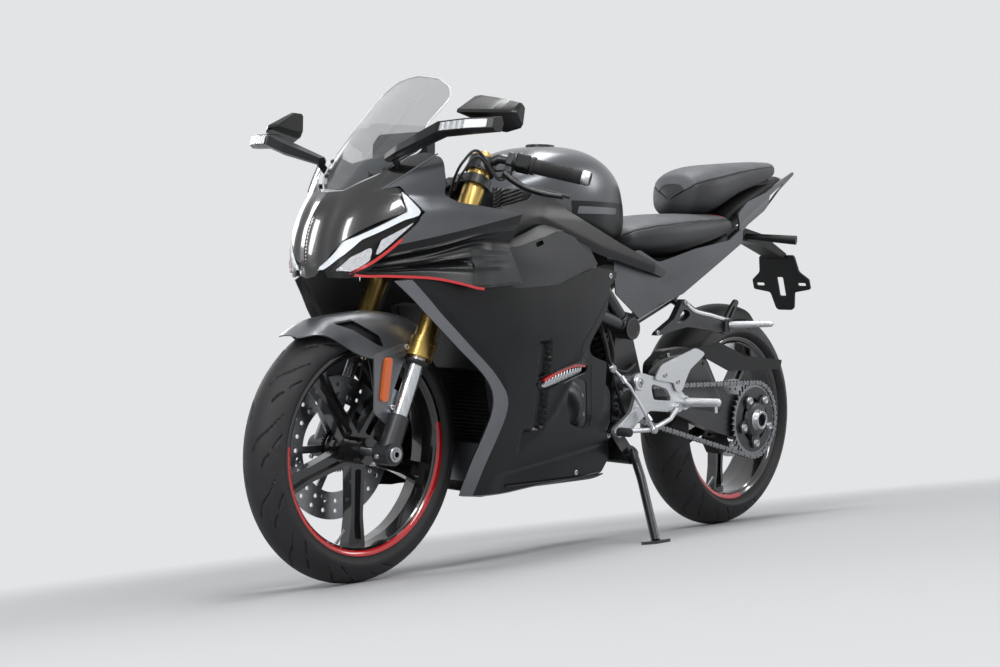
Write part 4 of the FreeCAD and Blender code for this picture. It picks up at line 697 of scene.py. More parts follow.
def tyre_grid(radius, crown, rim_half, x, z, repeats, steps):
    """Tyre surface with its slits on both flanks, half a pitch apart."""
    profile = tyre_profile(radius, crown, rim_half, steps, WALL_STEPS)
    arc = run_lengths(profile)
    arc -= arc[-1] / 2
    turn = turns(TYRE_STEPS)
    pitch, edge = 2 * np.pi * radius / repeats, crown * 1.2
    slits = [(((8, edge * 0.13), (36, edge * 0.26), (66, edge * 0.62), (104, edge * 0.93)), 2.6),
             (((-18, edge * 0.45), (-2, edge * 0.55), (12, edge * 0.70)), 2.2),
             (((24, edge * 0.78), (44, edge * 0.94), (58, edge * 1.04)), 2.1)]
    along = (turn * radius)[:, None] + np.where(arc[None, :] > 0, 0.0, pitch / 2)
    across = np.abs(arc)[None, :] + 0 * turn[:, None]
    sunk = slit_depths(along % pitch, across, pitch, slits, SLIT_DEPTH)
    normal = np.gradient(profile, axis=0)
    normal = unit(np.stack([-normal[:, 1], normal[:, 0]], 1))
    a, r = (profile[None, :, k] - sunk * normal[None, :, k] for k in (0, 1))
    return np.stack([x + r * np.cos(turn)[:, None], a, z + r * np.sin(turn)[:, None]], 2)


front_tread = make("front_tread_tyre", "front_wheel", tyre_rubber,
                   [surface(tyre_grid(293.0, 57.0, 42.0, 0.0, FRONT_Z, 13, 76), close_rows=True)])
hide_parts("front_tyre")
rear_tread = make("rear_tread_tyre", "rear_wheel", tyre_rubber,
                  [surface(tyre_grid(306.0, 80.0, 58.0, REAR_X, REAR_Z, 12, 92), close_rows=True)])
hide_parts("rear_tyre")

# %% [markdown]
# The wheels are cast aluminium in gloss black enamel. A rolled flange holds the tyre's bead, and a
# reflective red tape runs along about half of it. The flange and tape are one profile each, turned about
# the axle: a profile is quick to correct, because every point of it is a radius and a place across.

# %% Wheel flanges, tape and valves
def flange(half):
    """Rolled lip of a rim in (across, radius), from the barrel's slope up to the bead."""
    return [(half - 9, 213.0), (half - 2, 217.0), (half + 2.6, 221.0), (half + 4.2, 226.0), (half + 4.0, 228.7),
            (half + 2.4, 231.2), (half - 1.5, 231.4), (half - 3.0, 229.7)]


def tape(half):
    """Thin film over the flange's face, 0.3 mm proud of it."""
    return [(half - 1.4, 216.6), (half + 0.8, 218.6), (half + 3.0, 221.0), (half + 4.6, 226.0), (half + 4.6, 228.4),
            (half + 3.9, 228.6), (half + 3.9, 226.0), (half + 2.2, 221.6), (half - 1.8, 217.4)]


def mirror_across(profile):
    """The same profile on the wheel's other side."""
    return [(-across, radius) for across, radius in profile][::-1]


def bolt(place, axis=(0, 1, 0), radius=6.0, height=5.0, count=16):
    """Socket-head bolt: a short cylinder with a broken edge and a sunk socket, turned about its axis."""
    profile = [(-2.0, radius), (height * 0.75, radius), (height, radius * 0.82), (height, radius * 0.5),
               (height * 0.35, radius * 0.46), (height * 0.3, 0.01)]
    return turned(profile, place, axis, count)


STEM = [(0, 0.01), (0, 3.6), (9, 3.6), (12, 2.8), (30, 2.8), (31, 3.8), (38, 3.8), (39, 0.01)]
STEM_TURN, STEM_LEAN, STEM_FOOT = 5.0, 0.55, 208
for wheel, half, x, z, first, degrees in (("front_wheel", 42.0, 0.0, FRONT_Z, -0.1, 200),
                                          ("rear_wheel", 58.0, REAR_X, REAR_Z, -0.87, 150)):
    lips, films = ((shape(half), mirror_across(shape(half))) for shape in (flange, tape))
    make(wheel + "_flanges", wheel, wheel_black_paint, [turned(shape, (x, 0, z), count=180) for shape in lips])
    span = (first, first + math.radians(degrees))
    make(wheel + "_red_tape", wheel, red_film, [turned(shape, (x, 0, z), count=130, span=span) for shape in films])
    out = np.array((math.cos(STEM_TURN), STEM_LEAN, math.sin(STEM_TURN)))
    root = np.array((x, 12.0, z)) + out * (1, 0, 1) * STEM_FOOT
    make(wheel + "_valve", wheel, zinc_steel, [turned(STEM, root, out * (-1, 1, -1), 14)])

# %% [markdown]
# A floating brake disc hangs on a carrier by steel buttons, and a toothed ring beside the hub tells
# the wheel's speed. Both repeat one small shape round the axle.

# %% Disc buttons and tone ring
TOOTH_DEPTH, RING_DEPTH = 5.0, 12


def tone_ring(centre, radius, thickness=2.0, teeth=48):
    """Slotted ring: the outer radius steps between two values, as square teeth do, round a plain inner edge."""
    turn = turns(teeth * 4)
    outer = np.where((np.arange(teeth * 4) // 2) % 2 == 0, radius, radius - TOOTH_DEPTH)
    inner = 0 * outer + radius - RING_DEPTH
    rows = [np.stack([r * np.cos(turn), far + 0 * turn, r * np.sin(turn)], 1)
            for r, far in ((outer, 0), (outer, thickness), (inner, thickness), (inner, 0))]
    return surface(np.stack(rows) + centre, close_rows=True, close_columns=True)


BUTTON = [(-6.5, 0.01), (-6.5, 7.5), (-5.0, 9.0), (-3.2, 9.0), (-3.2, 6.0), (3.2, 6.0), (3.2, 9.0), (5.0, 9.0),
          (6.5, 7.5), (6.5, 4.2), (4.6, 3.8), (4.6, 0.01)]
make("front_disc_buttons", "front_wheel", zinc_steel,
     around_axle(turned(BUTTON, (112.0, -62.0, FRONT_Z), count=18), 6, (0, 0, FRONT_Z), 12))
make("front_tone_ring", "front_wheel", dark_steel, [tone_ring((0, -52.0, FRONT_Z), 54.0)])

# %% [markdown]
# The fairing's skins all lie on one rounded form: an ellipse ahead of its widest place and a slow
# taper behind it, tucked in below the nose and flared towards the mirrors. Real panels are moulded to
# one master surface in the same way, so that the seams between them stay even.

# %% The fairing's master surface
FAIRING_HALF, FAIRING_MIDDLE, NOSE_X = 250.0, -300.0, 148.0


def nose_reach(z):
    """Forward reach of the centre line at a height: a parabola, steeper above 715 mm than below."""
    above = np.maximum(z, 640.0) - 715.0
    return NOSE_X - np.where(above > 0, 0.003, 0.001) * above * above


def side_share(z):
    """Share of the half width at a height: tucked in under 640 mm, flared over 850 mm."""
    low = 1 - 0.40 * (np.clip(640 - z, 0, None) / 450) ** 1.7
    return low + 0.0039 * np.clip(z - 850, 0, None)


def fairing_y(x, z):
    """Half width: half * sqrt(1 - ((x - middle) / reach)^2) ahead of the middle, a parabola behind it."""
    x, z = np.asarray(x, float), np.asarray(z, float)
    share = np.clip((x - FAIRING_MIDDLE) / (nose_reach(z) - FAIRING_MIDDLE), 0, 0.999)
    behind = FAIRING_HALF - 2.2e-4 * np.minimum(x - FAIRING_MIDDLE, 0) ** 2
    return np.where(x > FAIRING_MIDDLE, FAIRING_HALF * np.sqrt(1 - share * share), behind) * side_share(z)


def nose_x(y, z):
    """The same surface read from the front: x = middle + reach * sqrt(1 - (y / half width)^2)."""
    share = np.clip(y / (FAIRING_HALF * side_share(z)), -0.98, 0.98)
    return FAIRING_MIDDLE + (nose_reach(z) - FAIRING_MIDDLE) * np.sqrt(1 - share * share)


# %% [markdown]
# The nose is one gloss black moulding with a sharp crest down its middle and hollows beside it. The
# crest is a pointed curve and the hollows are bell curves, added to the master surface, so that they
# fade out before the lamps.

# %% Black nose
def crested_nose(y, z):
    """Nose surface with a crest on the centre line and a shallow hollow on each side of it."""
    calm = ease(z, 660, 700) * (1 - 0.75 * ease(z, 800, 852))
    crest = 9 * np.exp(-np.abs(y) / 9.0) - 9 * bump(np.abs(y), 34, 22)
    return nose_x(y, z) + calm * crest - 2.0 * bump(np.abs(y), 96 + 0.35 * (z - 850), 5) * ease(z, 850, 880)


NOSE_HALF = [(23, 671, 6), (84, 748, 14), (165, 813, 9), (143, 863, 3), (119, 858, 1), (186, 937, 3),
             (158, 941, 4), (136, 934, 10), (95, 889, 20), (40, 855, 20)]
nose = make("crested_nose_cowl", "chassis", nose_black_paint,
            [sheet(symmetric((0, 666), NOSE_HALF, (0, 852)), crested_nose, -3, 4.5, plane="front")], bevel=0.7)
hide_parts("nose_cowl")

# %% [markdown]
# Each headlamp is a box with a clear outer lens. Inside lie a white light guide in the shape of a bent
# L, and stepped mirrors for the low and high beam. Light only plays in it where those are real
# shapes at real depths, so the housing, guide, mirrors and lens are separate sheets one behind another.

# %% Headlamps
LAMP = [(18, 866, 3), (-18, 812, 8), (-5, 790, 5), (43, 741, 10), (106, 678, 4), (146, 682, 4), (119, 748, 14),
        (12, 815, 8)]
GUIDE = [(16, 861, 3), (-15, 813, 8), (-8, 803, 5), (20, 793, 8), (94, 749, 12), (126, 707, 6), (139, 684, 2),
         (144, 684, 2), (117, 745, 14), (9, 812, 6)]
HOUSING = [(46, 872, 6), (-8, 882, 6), (-52, 812, 10), (-30, 775, 10), (30, 722, 12), (98, 668, 6), (136, 668, 4),
           (126, 745, 14), (46, 812, 10)]


def behind_fairing(depth):
    """Surface a distance inside the master surface, read from the side."""
    return lambda x, z: fairing_y(x, z) - depth


lens = make("headlamp_lenses", "chassis", clear_lens,
            pair(sheet(LAMP, behind_fairing(-0.2), -2.2, 7)), bevel=0.5)
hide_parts("headlights")
make("headlamp_housings", "chassis", panel_black,
     pair(sheet(HOUSING, lambda x, z: fairing_y(x, z) - 28 + 18 * ease(x, 40, 110), -2, 9)))
# The guides carry the painted glow of their material, a painted highlight.
make("daylight_guides", "chassis", light_guide_painted_glow,
     pair(sheet(GUIDE, behind_fairing(4.5), -4, 6)), bevel=0.8)


def stepped_mirror(x, z):
    """Facets: a sawtooth of 9 mm along the lamp over a shallow bowl whose depth grows to the middle."""
    along = (x - z * 0.6) / 9.0
    return fairing_y(x, z) - 8 - 3 * np.abs((along % 1) - 0.5) - 3 * bump(x, 30, 26)


MIRROR_LOW = [(-6, 793, 3), (42, 744, 8), (74, 712, 4), (60, 750, 6), (18, 776, 8)]
MIRROR_HIGH = [(80, 706, 3), (105, 682, 3), (126, 684, 3), (108, 712, 4), (74, 738, 6)]
make("headlamp_mirrors", "chassis", bright_reflector,
     pair(*[sheet(corners, stepped_mirror, -2, 2.6) for corners in (MIRROR_LOW, MIRROR_HIGH)]))

# %% [markdown]
# The grey side panels of the nose are injection-moulded and painted in satin graphite. Their rims turn
# inwards by a few millimetres and catch the light as a thin pale line; that line is painted, as a band of
# paler graphite along the top edge, a painted highlight.

# %% Upper side panels
UPPER = [(44, 858, 2), (-53, 940, 8), (-53, 900, 30), (-62, 850, 20), (-92, 836, 20), (-262, 820, 2), (43, 739),
         (-5, 790), (-19, 812), (18, 866)]


def upper_skin(x, z):
    """Master surface with a soft fold from the lamp's outer corner to the rear tip."""
    fold = z - (812 + (x + 19) * -0.03)
    return fairing_y(x, z) + 2.5 * bump(fold, 0, 16) * (1 - ease(x, -40, 10)) - 1.2 * ease(-fold, 0, 60)


upper = make("graphite_side_panels", "chassis", graphite_paint,
             pair(sheet(UPPER, upper_skin, -3, 5)), bevel=1.1, segments=3)
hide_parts("upper_fairings")


def strip_on(points, wide, deep, count=60, hint=(0, 0, 1)):
    """Flat band with broken corners carried along a smooth curve, its wide side along the hint."""
    a, b = deep / 2, wide / 2
    half = np.array([(-a, -b * 0.8), (-a * 0.4, -b), (a * 0.4, -b), (a, -b * 0.8)])
    return carried(np.concatenate([half, -half]), curve_through(points, count), hint)


# Painted highlight: a pale graphite band along each panel's top edge stands for the light its rim catches.
rim_highlight_line = laid([(44, 858.5), (12, 885.5), (-22, 914), (-52, 938)], fairing_y, 0.4)
make("graphite_panel_rim_painted_highlights", "chassis", pale_graphite_paint, pair(strip_on(rim_highlight_line, 3.4, 3.6)))

# %% [markdown]
# Winglets are thin blades that press the front wheel down at speed. Each runs from under the lamp out
# to a blunt tip, with two ridges, a triangular duct and a film of printed carbon at its rear.
# The red line along its lower edge is adhesive film over the rim.

# %% Winglets
WING_LOW = [(116, 84, 673), (84, 118, 674), (50, 152, 675), (-20, 207, 673), (-97, 264, 655), (-160, 276, 658),
            (-231, 281, 667)]
WING_HIGH = [(110, 82, 683), (80, 108, 690), (44, 137, 697), (-30, 186, 714), (-120, 228, 741), (-180, 236, 742),
             (-231, 240, 741)]


def wing_ridges(u, v):
    """Two ridges along the blade, the outer one wide, which fade out before the tip."""
    return (7 * bump(v, 0.46 + 0.10 * u, 0.10) + 4 * bump(v, 0.80, 0.07)) * (1 - ease(u, 0.80, 0.96))


STEPS = 110
wing_low, wing_high = curve_through(WING_LOW, STEPS), curve_through(WING_HIGH, STEPS)
along = np.linspace(0, 1, STEPS)[:, None]


def winglet(u, lines=44):
    """Blade between a low and a high edge curve, pushed out by ridges and in by a triangular duct."""
    v = np.linspace(0, 1, lines)
    grid = between(wing_low, wing_high, v)
    v = v[None, :]
    tip = 0.78 - 0.45 * (u - 0.42)
    duct = ease(u, 0.40, 0.44) * (1 - ease(u + 0.22 * v, 0.78, 0.82)) * ease(v, 0.50 - 0.25 * (u - 0.4), 0.60)
    duct = duct * (1 - ease(v, tip, tip + 0.06))
    grid[..., 1] += wing_ridges(u, v) * ease(u, 0.10, 0.35) - 11 * duct
    return surface(grid)


wing = make("ridged_winglets", "chassis", panel_black, pair(thick(winglet(along), (0.8, -4, -1))), bevel=0.6)
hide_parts("winglets")
red_upper = laid([(30, 752), (60, 722), (88, 696)], fairing_y, 1.2).tolist() + [(109, 87, 677)]
RED_RUN = [(108, 86, 676), (84, 119, 673), (50, 153.5, 674), (-20, 208.5, 672), (-70, 246, 662), (-97, 265.5, 654),
           (-118, 270, 652)]
make("red_edge_film", "chassis", red_film, pair(strip_on(red_upper, 6.5, 2.2, 40), strip_on(RED_RUN, 6.0, 3.0, 90)))
SHOULDER_LINE = [(108, 679), (75, 710), (43, 739), (-50, 763), (-150, 791), (-225, 810), (-262, 819)]
v = np.linspace(-0.04, 1.02, 30)
skin = between(wing_high, curve_through(laid(SHOULDER_LINE, fairing_y, -2.0), STEPS), v)
skin[..., 1] += ease(along, 0.05, 0.4) * (5 * bump(v, 0.42 + 0.15 * along, 0.06) - 7 * bump(v, 0.18, 0.14))
make("winglet_shoulders", "chassis", panel_black, pair(thick(surface(skin), (-0.5, -2.5, -1))))
FILM_ROWS = slice(72, 106)
v = np.linspace(0.06, 0.94, 20)
film = between(wing_low[FILM_ROWS], wing_high[FILM_ROWS], v)
film[..., 1] += 0.5 + wing_ridges(along[FILM_ROWS], v)
make("winglet_carbon_films", "chassis", carbon_look, pair(thick(surface(film), (0, 0.4, 0))))

# %% [markdown]
# The large side panel is one satin black moulding. Its leading edge is a broad grey strip turned into the
# air stream; behind it a tall slot, a triangular facet and a window are sunk into the skin. Each relief
# is a smooth step or a bell curve over the side view, added to the master surface or taken from it.

# %% Side panels with their reliefs
SIDE = [(5, 627, 40), (43, 664, 3), (-40, 684, 10), (-100, 692, 20), (-226, 692, 10), (-234, 656, 10),
        (-276, 657, 100), (-389, 666, 100), (-538, 710, 60), (-640, 700, 10), (-597, 661, 20), (-589, 610, 40),
        (-509, 509, 60), (-616, 484, 6), (-643, 371, 40), (-630, 323, 10), (-680, 314, 10), (-732, 246, 12),
        (-712, 203, 20), (-441, 192, 40), (-253, 183, 30), (-186, 190, 20), (-196, 265, 60), (-221, 369, 60),
        (-214, 420, 50), (-179, 462, 40), (-98, 525, 60), (-31, 588, 60)]
WINDOW = [(-469, 432, 20), (-484, 365, 30), (-515, 337, 30), (-570, 324, 10), (-577, 342, 10), (-540, 440, 20),
          (-500, 452, 10)]
FIN = [(-348, 436, 12), (-357, 449, 12), (-408, 467, 40), (-485, 486, 40), (-531, 480, 12), (-529, 462, 12),
       (-451, 440, 40), (-386, 424, 20)]
LEAD = [(43, 664), (5, 627), (-31, 588), (-98, 525), (-179, 462), (-214, 420), (-221, 369), (-196, 265), (-186, 190)]
lead_curve = curve_through(LEAD, 160)


def side_relief(x, z):
    """How far the skin stands in or out: strip edge, slot, facet, ridge above the window and lower fold."""
    lead = nearest(np.stack([x, z], 1), lead_curve)
    strip = -3.0 * (1 - ease(lead, 30, 38)) * ease(690 - z, 20, 70)
    slot_mid = -356 - 0.16 * (540 - z)
    slot = -13.0 * band(x, slot_mid - 19, slot_mid + 17, 2.5) * band(z, 335, 536, 6)
    facet_low = 262 + (-x - 330) * 0.75
    facet = -13.0 * ease(z, facet_low, facet_low + 60) * band(x, -410, -338, 3) * (1 - ease(z, 326, 336))
    rib = 5.0 * bump(x - (-470 - 0.55 * (z - 440)), 0, 16) * band(z, 345, 500, 30)
    fold_line = 232 + 0.13 * (-x - 300)
    fold = -5.0 * (1 - ease(z, fold_line - 5, fold_line + 3)) * ease(-x, 270, 330)
    shelf = 3.0 * bump(z - (548 - 0.10 * (x + 300)), 0, 70)
    return strip + slot + facet + rib + fold + shelf


def side_skin_y(x, z):
    """Master surface with the side panel's reliefs."""
    return fairing_y(x, z) + side_relief(x, z)


side = make("black_side_panels", "chassis", panel_black,
            pair(sheet(SIDE, side_skin_y, -3, 5.7, [WINDOW, FIN])), bevel=0.9)
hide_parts("side_fairings")

# %% [markdown]
# The grey leading strip and the carbon film behind the window are a millimetre thick or less, and
# follow the panel's own surface. The carbon-look infill above it is a panel of 3 mm, tucked in behind.

# %% Leading strips, infill and carbon films
INNER = [(10, 668), (-26, 630), (-64, 588), (-132, 526), (-214, 462), (-256, 416), (-264, 366), (-238, 262),
         (-226, 188)]
strip_ring = np.concatenate([curve_through(LEAD, 60), curve_through(INNER, 60)[::-1]])
make("graphite_leading_strips", "chassis", pale_graphite_paint,
     pair(sheet(strip_ring, lambda x, z: side_skin_y(x, z) + 0.9, -1.0, 5)), bevel=0.3)
INFILL = [(-236, 745, 4), (-266, 749, 30), (-420, 790, 20), (-470, 778, 20), (-560, 716, 10), (-538, 709, 60),
          (-389, 666, 100), (-276, 657, 100), (-234, 656, 4)]


def infill_y(x, z):
    """Infill skin, tucked in by 0.16 of its rise, with a rounded bulge."""
    bulge = 2.5 * np.exp(-((x + 300) / 80) ** 2 - ((z - 724) / 34) ** 2)
    return fairing_y(x, z) - 0.16 * np.clip(z - 657, 0, None) + bulge


INFILL_SLOT = [(-322, 758, 6), (-350, 766, 6), (-352, 756, 5), (-326, 748, 5)]
infill = make("carbon_infill_panels", "chassis", carbon_look,
              pair(sheet(INFILL, infill_y, -3, 5, [INFILL_SLOT])), bevel=0.6)
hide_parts("side_infill_panels")
UPPER_EDGE = [(-236, 745), (-266, 749), (-340, 768), (-420, 789), (-470, 777), (-560, 717)]
edge = curve_through(laid(UPPER_EDGE, infill_y, -1.5), 60)
rise = curve_through([(-236, 196, 754), (-266, 194, 760), (-340, 186, 782), (-412, 176, 804), (-480, 164, 792),
                      (-600, 160, 766)], 60)
ledge = surface(between(edge, rise, np.linspace(0, 1, 14)))
make("infill_ledges", "chassis", carbon_look, pair(thick(ledge, (0, -1, -2))))
REAR_FILM = [(-592, 640, 1), (-584, 608, 30), (-504, 508, 40), (-520, 498, 10), (-610, 480, 6), (-637, 371, 30),
             (-626, 327, 4), (-590, 327, 4), (-594, 350, 20), (-560, 440, 20), (-548, 480, 10), (-484, 512, 40),
             (-560, 604, 60)]
make("rear_carbon_films", "chassis", carbon_look,
     pair(sheet(REAR_FILM, lambda x, z: side_skin_y(x, z) + 0.6, -0.7, 6)))
low_line = laid([(-196, 190), (-253, 186), (-340, 186), (-441, 194), (-560, 198), (-700, 207)], side_skin_y, 0.3)
make("lower_edge_beads", "chassis", pale_graphite_paint, pair(strip_on(low_line, 3.0, 3.0, 120)))

# %% [markdown]
# The vent is an oval tray with a red lip along its top and a bead-blasted insert of small ribs. A tray
# is one filled outline pushed in; the ribs are thin upright bars set across it.

# %% Vent trays, red lips and ribbed inserts
def loop(profile, path, hint=(0.0, 1.0, 0.0)):
    """Profile carried round a closed path: its first way lies along the hint, its second across it."""
    ahead = unit(np.roll(path, -1, 0) - np.roll(path, 1, 0))
    side_way = np.array(hint) + 0 * ahead
    up_way = np.cross(side_way, ahead)
    grid = path[:, None] + side_way[:, None] * profile[None, :, 0, None] + up_way[:, None] * profile[None, :, 1, None]
    return surface(grid, close_rows=True, close_columns=True)


tray = sheet(FIN, lambda x, z: fairing_y(x, z) - 9.0, -2, 7)
rim_path = curve_through(laid(rounded(FIN), side_skin_y, 0.4), 120, closed=True)
RIM_PROFILE = np.array([(-10, -1.5), (1.6, -1.5), (2.4, 0), (1.6, 1.5), (-10, 1.5)])
fins = make("vent_trays", "chassis", panel_black, pair(tray, loop(RIM_PROFILE, rim_path)))
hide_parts("vent_fins")
lip_path = laid([(-372, 447), (-410, 462), (-450, 474), (-488, 480), (-520, 478)], fairing_y, -1.5)
make("vent_red_lips", "chassis", red_film, pair(strip_on(lip_path, 8.0, 9.0, 50)))
RIB_FIRST, RIB_GAP, RIB_SLOPE = -386, 10.5, 0.235
ribs = []
for k in range(13):
    x = RIB_FIRST - RIB_GAP * k
    z = 443 + RIB_SLOPE * (RIB_FIRST - x)
    y = float(fairing_y(x, z))
    rib_line = [(x - 4, y - 6.5, z + 8), (x, y - 4.5, z + 1), (x + 3, y - 6.5, z - 7)]
    ribs.append(strip_on(rib_line, 3.4, 5, 8, (0, 1, 0.2)))
INSERT = [(-372, 434, 4), (-388, 446, 5), (-520, 475, 5), (-522, 464, 5), (-450, 444, 30), (-388, 430, 5)]
make("vent_ribbed_inserts", "chassis", blasted_alloy,
     pair(*ribs, sheet(INSERT, lambda x, z: fairing_y(x, z) - 7.0, -1.5, 6)))

# %% [markdown]
# Behind the window sits the engine's clutch cover, a cast dome coated in dark grey. It is a profile
# turned about the crankshaft's axis, with a raised rim and bolts round it. Bolts hold the fairing too.

# %% Clutch covers and fairing bolts
CRANK_X, CRANK_Z, COVER_FOOT, BOLT_RING = -560, 372, 136, 60
DOME = [(0, 66), (5, 66), (8, 62), (8, 56), (14, 50), (20, 38), (23, 22), (24, 0.01)]
cover_bolts = [bolt((CRANK_X + BOLT_RING * math.cos(a), COVER_FOOT + 5, CRANK_Z + BOLT_RING * math.sin(a)),
                    radius=4.5, height=4) for a in turns(8) + 0.3]
make("clutch_covers", "chassis", cast_grey, pair(turned(DOME, (CRANK_X, COVER_FOOT, CRANK_Z), count=64)))
make("clutch_cover_bolts", "chassis", zinc_steel, pair(*cover_bolts))
for name, x, z in (("low", -596, 214), ("rear", -694, 300), ("top", -600, 690)):
    spot = laid([(x, z)], side_skin_y, -0.5)[0]
    make("fairing_bolts_" + name, "chassis", zinc_steel, pair(bolt(spot, radius=6.5, height=3.2)))

# %% [markdown]
# Beside the tank lies a folded satin panel. Its fold runs the whole length, so that light breaks along
# one line. The fold is a difference of two slopes with a short soft bend between them.

# %% Shoulder panels
SHOULDER = [(-22, 746, 10), (-150, 804, 40), (-240, 834, 40), (-320, 848, 60), (-380, 860, 60), (-446, 890, 20),
            (-469, 884, 20), (-515, 842, 60), (-716, 772, 100), (-881, 722, 60), (-933, 708, 4), (-912, 692, 8),
            (-846, 703, 40), (-649, 740, 100), (-412, 793, 60), (-266, 752, 60)]


def shoulder_y(x, z):
    """Width beside the tank, wider to the front, with a fold along the panel's middle line."""
    share = np.clip((x + 450) / 300, 0, 1)
    base = 170 + 34 * share * share * (3 - 2 * share) - 0.008 * np.clip(z - 820, 0, None) ** 2
    base = np.minimum(base, fairing_y(x, z) - 12)
    middle = np.interp(x, [-933, -649, -412, -266, -22], [704, 758, 822, 792, 748])
    away = z - middle
    return base + 2.0 - 0.16 * (np.sqrt(away ** 2 + 9) - 3) * np.where(away > 0, 0.5, 1.0)


shoulder = make("folded_shoulder_panels", "chassis", panel_black,
                pair(sheet(SHOULDER, shoulder_y, -3, 5)), bevel=1.2, segments=3)
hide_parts("tank_shoulders")

# %% [markdown]
# The tank and the seats are lofts: closed sections across the bike, set along its length. Each section is
# a superellipse, |y / w|^n + |z / h|^n = 1, squarer than an ellipse, as pressed and foamed parts are.

# %% Lofted bodies
def lofted(stations, along=60, around=72, power=2.6, round_ends=(0.0, 0.0)):
    """Superellipse sections of (x, half width, low, high) rows, smoothed along x; each end may close in a dome."""
    x, half, low, high = curve_through(stations, along).T
    middle, tall = (low + high) / 2, (high - low) / 2
    for end, reach in zip((0, -1), round_ends):
        if reach:
            t = np.clip(np.abs(x - x[end]) / reach, 0, 1)
            share = np.sqrt(np.clip(1 - (1 - t) ** 2, 0.0009, 1))
            half, tall = half * share, tall * share
    c, s = np.cos(turns(around)), np.sin(turns(around))
    y = half[:, None] * np.sign(c) * np.abs(c) ** (2 / power)
    z = middle[:, None] + tall[:, None] * np.sign(s) * np.abs(s) ** (2 / power)
    return np.stack([x[:, None] + 0 * y, y, z], 2)


def pushed(grid, far):
    """The grid moved along its own normals, the cross product of its two directions."""
    way = np.cross(np.gradient(grid, axis=0), np.roll(grid, -1, 1) - np.roll(grid, 1, 1))
    way /= np.maximum(np.linalg.norm(way, axis=2, keepdims=True), 1e-9)
    out = np.sign((way * (grid - grid.mean((0, 1)))).sum())
    return grid + out * far * way


TANK = [(-372, 60, 800, 896), (-430, 112, 790, 954), (-500, 146, 775, 991), (-590, 160, 765, 1006),
        (-680, 156, 758, 1004), (-760, 134, 752, 976), (-815, 102, 760, 926), (-842, 76, 775, 880)]
TANK_POWER = 2.5


def knee_hollow(x, z):
    """Hollow for the rider's knee: a bell over the tank's flank."""
    return 10 * np.exp(-((x + 752) / 70) ** 2 - ((z - 850) / 62) ** 2)


def tank_y(x, z):
    """Half width of the tank: w * (1 - |(z - middle) / h|^n)^(1/n) at each x, less the knee's hollow."""
    line = curve_through(TANK, 120)[::-1]
    half, low, high = (np.interp(x, line[:, 0], line[:, k]) for k in (1, 2, 3))
    away = np.clip(np.abs(z - (low + high) / 2) / ((high - low) / 2), 0, 0.98)
    return half * (1 - away ** TANK_POWER) ** (1 / TANK_POWER) - knee_hollow(x, z)


tank_grid = lofted(TANK, 90, 96, TANK_POWER)
tank_x, tank_z = tank_grid[..., 0], tank_grid[..., 2]
tank_grid[..., 1] -= np.sign(tank_grid[..., 1]) * knee_hollow(tank_x, tank_z)
tank = make("satin_fuel_tank", "chassis", graphite_paint, [closed_ends(tank_grid)])
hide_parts("fuel_tank")
BAND = [(-540, 868, 4), (-786, 874, 6), (-814, 830, 20), (-816, 786, 10), (-690, 780, 10), (-560, 812, 10)]
STRIPE = [(-566, 856, 2), (-742, 860, 2), (-742, 845, 2), (-566, 838, 2)]
make("black_tank_bands", "chassis", panel_black,
     pair(sheet(BAND, lambda x, z: tank_y(x, z) + 0.8, -1, 6)))
make("grey_tank_stripes", "chassis", pale_graphite_paint,
     pair(sheet(STRIPE, lambda x, z: tank_y(x, z) + 1.2, -0.6, 6)))

# %% [markdown]
# The filler cap is a machined ring round a flap, held by small screws, with a covered key slot.

# %% Filler cap
CAP_X, RING_Z, SCREW_Z, SCREW_RING = -600, 998, 1009.5, 29
CAP = [(0.5, 36), (9, 36), (11.4, 34), (12.2, 31), (12.2, 27), (10.6, 25.5), (11.2, 22), (11.8, 12), (12.0, 0.01)]
make("filler_cap_ring", "filler_cap", cast_black, [turned(CAP, (CAP_X, 0, RING_Z), (0, 0, 1), 72)])
screws = [bolt((CAP_X + SCREW_RING * math.cos(a), SCREW_RING * math.sin(a), SCREW_Z), (0, 0, 1), 2.8, 1.6, 12)
          for a in turns(7)]
KEY_FLAP = [(CAP_X + a, b, 5) for a, b in ((-12, -5), (12, -5), (12, 5), (-12, 5))]
make("filler_cap_screws", "filler_cap", zinc_steel, screws + [sheet(KEY_FLAP, SCREW_Z, 2.2, 3, plane="top")])

# %% [markdown]
# Seats are moulded foam under stretched vinyl. The foam gives the crowned form, and the cover is sewn
# from a grey top and a darker side, so the seam sits in a shallow groove. The seam's sink and the
# slight sag between sewn points are worked out on the loft, which keeps the two covers meeting exactly.


# %% Seat covers
def vinyl(name, tones, roughness):
    """Coated fabric with a leather-like grain of about 2.6 mm: cells of a Voronoi pattern under a fine noise."""
    material, shader = new_material(name, tones[0], roughness)
    two_tones(material, shader, tones, 55)
    fine = rough_grain(material, shader, 0.9, 0.0, (roughness - 0.08, roughness + 0.1), 4.0)
    place = add_node(material, "TexCoord").outputs["Object"]
    cells = add_node(material, "TexVoronoi", {"Scale": spots_per_metre(2.6)}, Vector=place)
    both = add_node(material, "Math", {"operation": "ADD"}, i0=cells.outputs["Distance"], i1=fine)
    relief = add_node(material, "Bump", {"Strength": 0.35, "Distance": 0.0006}, Height=both.outputs["Value"])
    join(relief.outputs["Normal"], shader.inputs["Normal"])
    return material


grey_vinyl = vinyl("grey_seat_vinyl", ("4b4d50", "56585b"), 0.5)
black_vinyl = vinyl("black_seat_vinyl", ("1a1b1d", "222325"), 0.48)
RIDER = [(-846, 70, 752, 806), (-880, 96, 744, 828), (-940, 122, 740, 846), (-1010, 138, 744, 858),
         (-1090, 144, 762, 866), (-1180, 140, 786, 870), (-1250, 130, 808, 872), (-1284, 120, 818, 868)]
PILLION = [(-1144, 44, 864, 950), (-1176, 78, 864, 982), (-1250, 98, 874, 1006), (-1370, 96, 928, 1022),
           (-1500, 78, 968, 1036), (-1604, 46, 1000, 1042)]
AROUND = 120


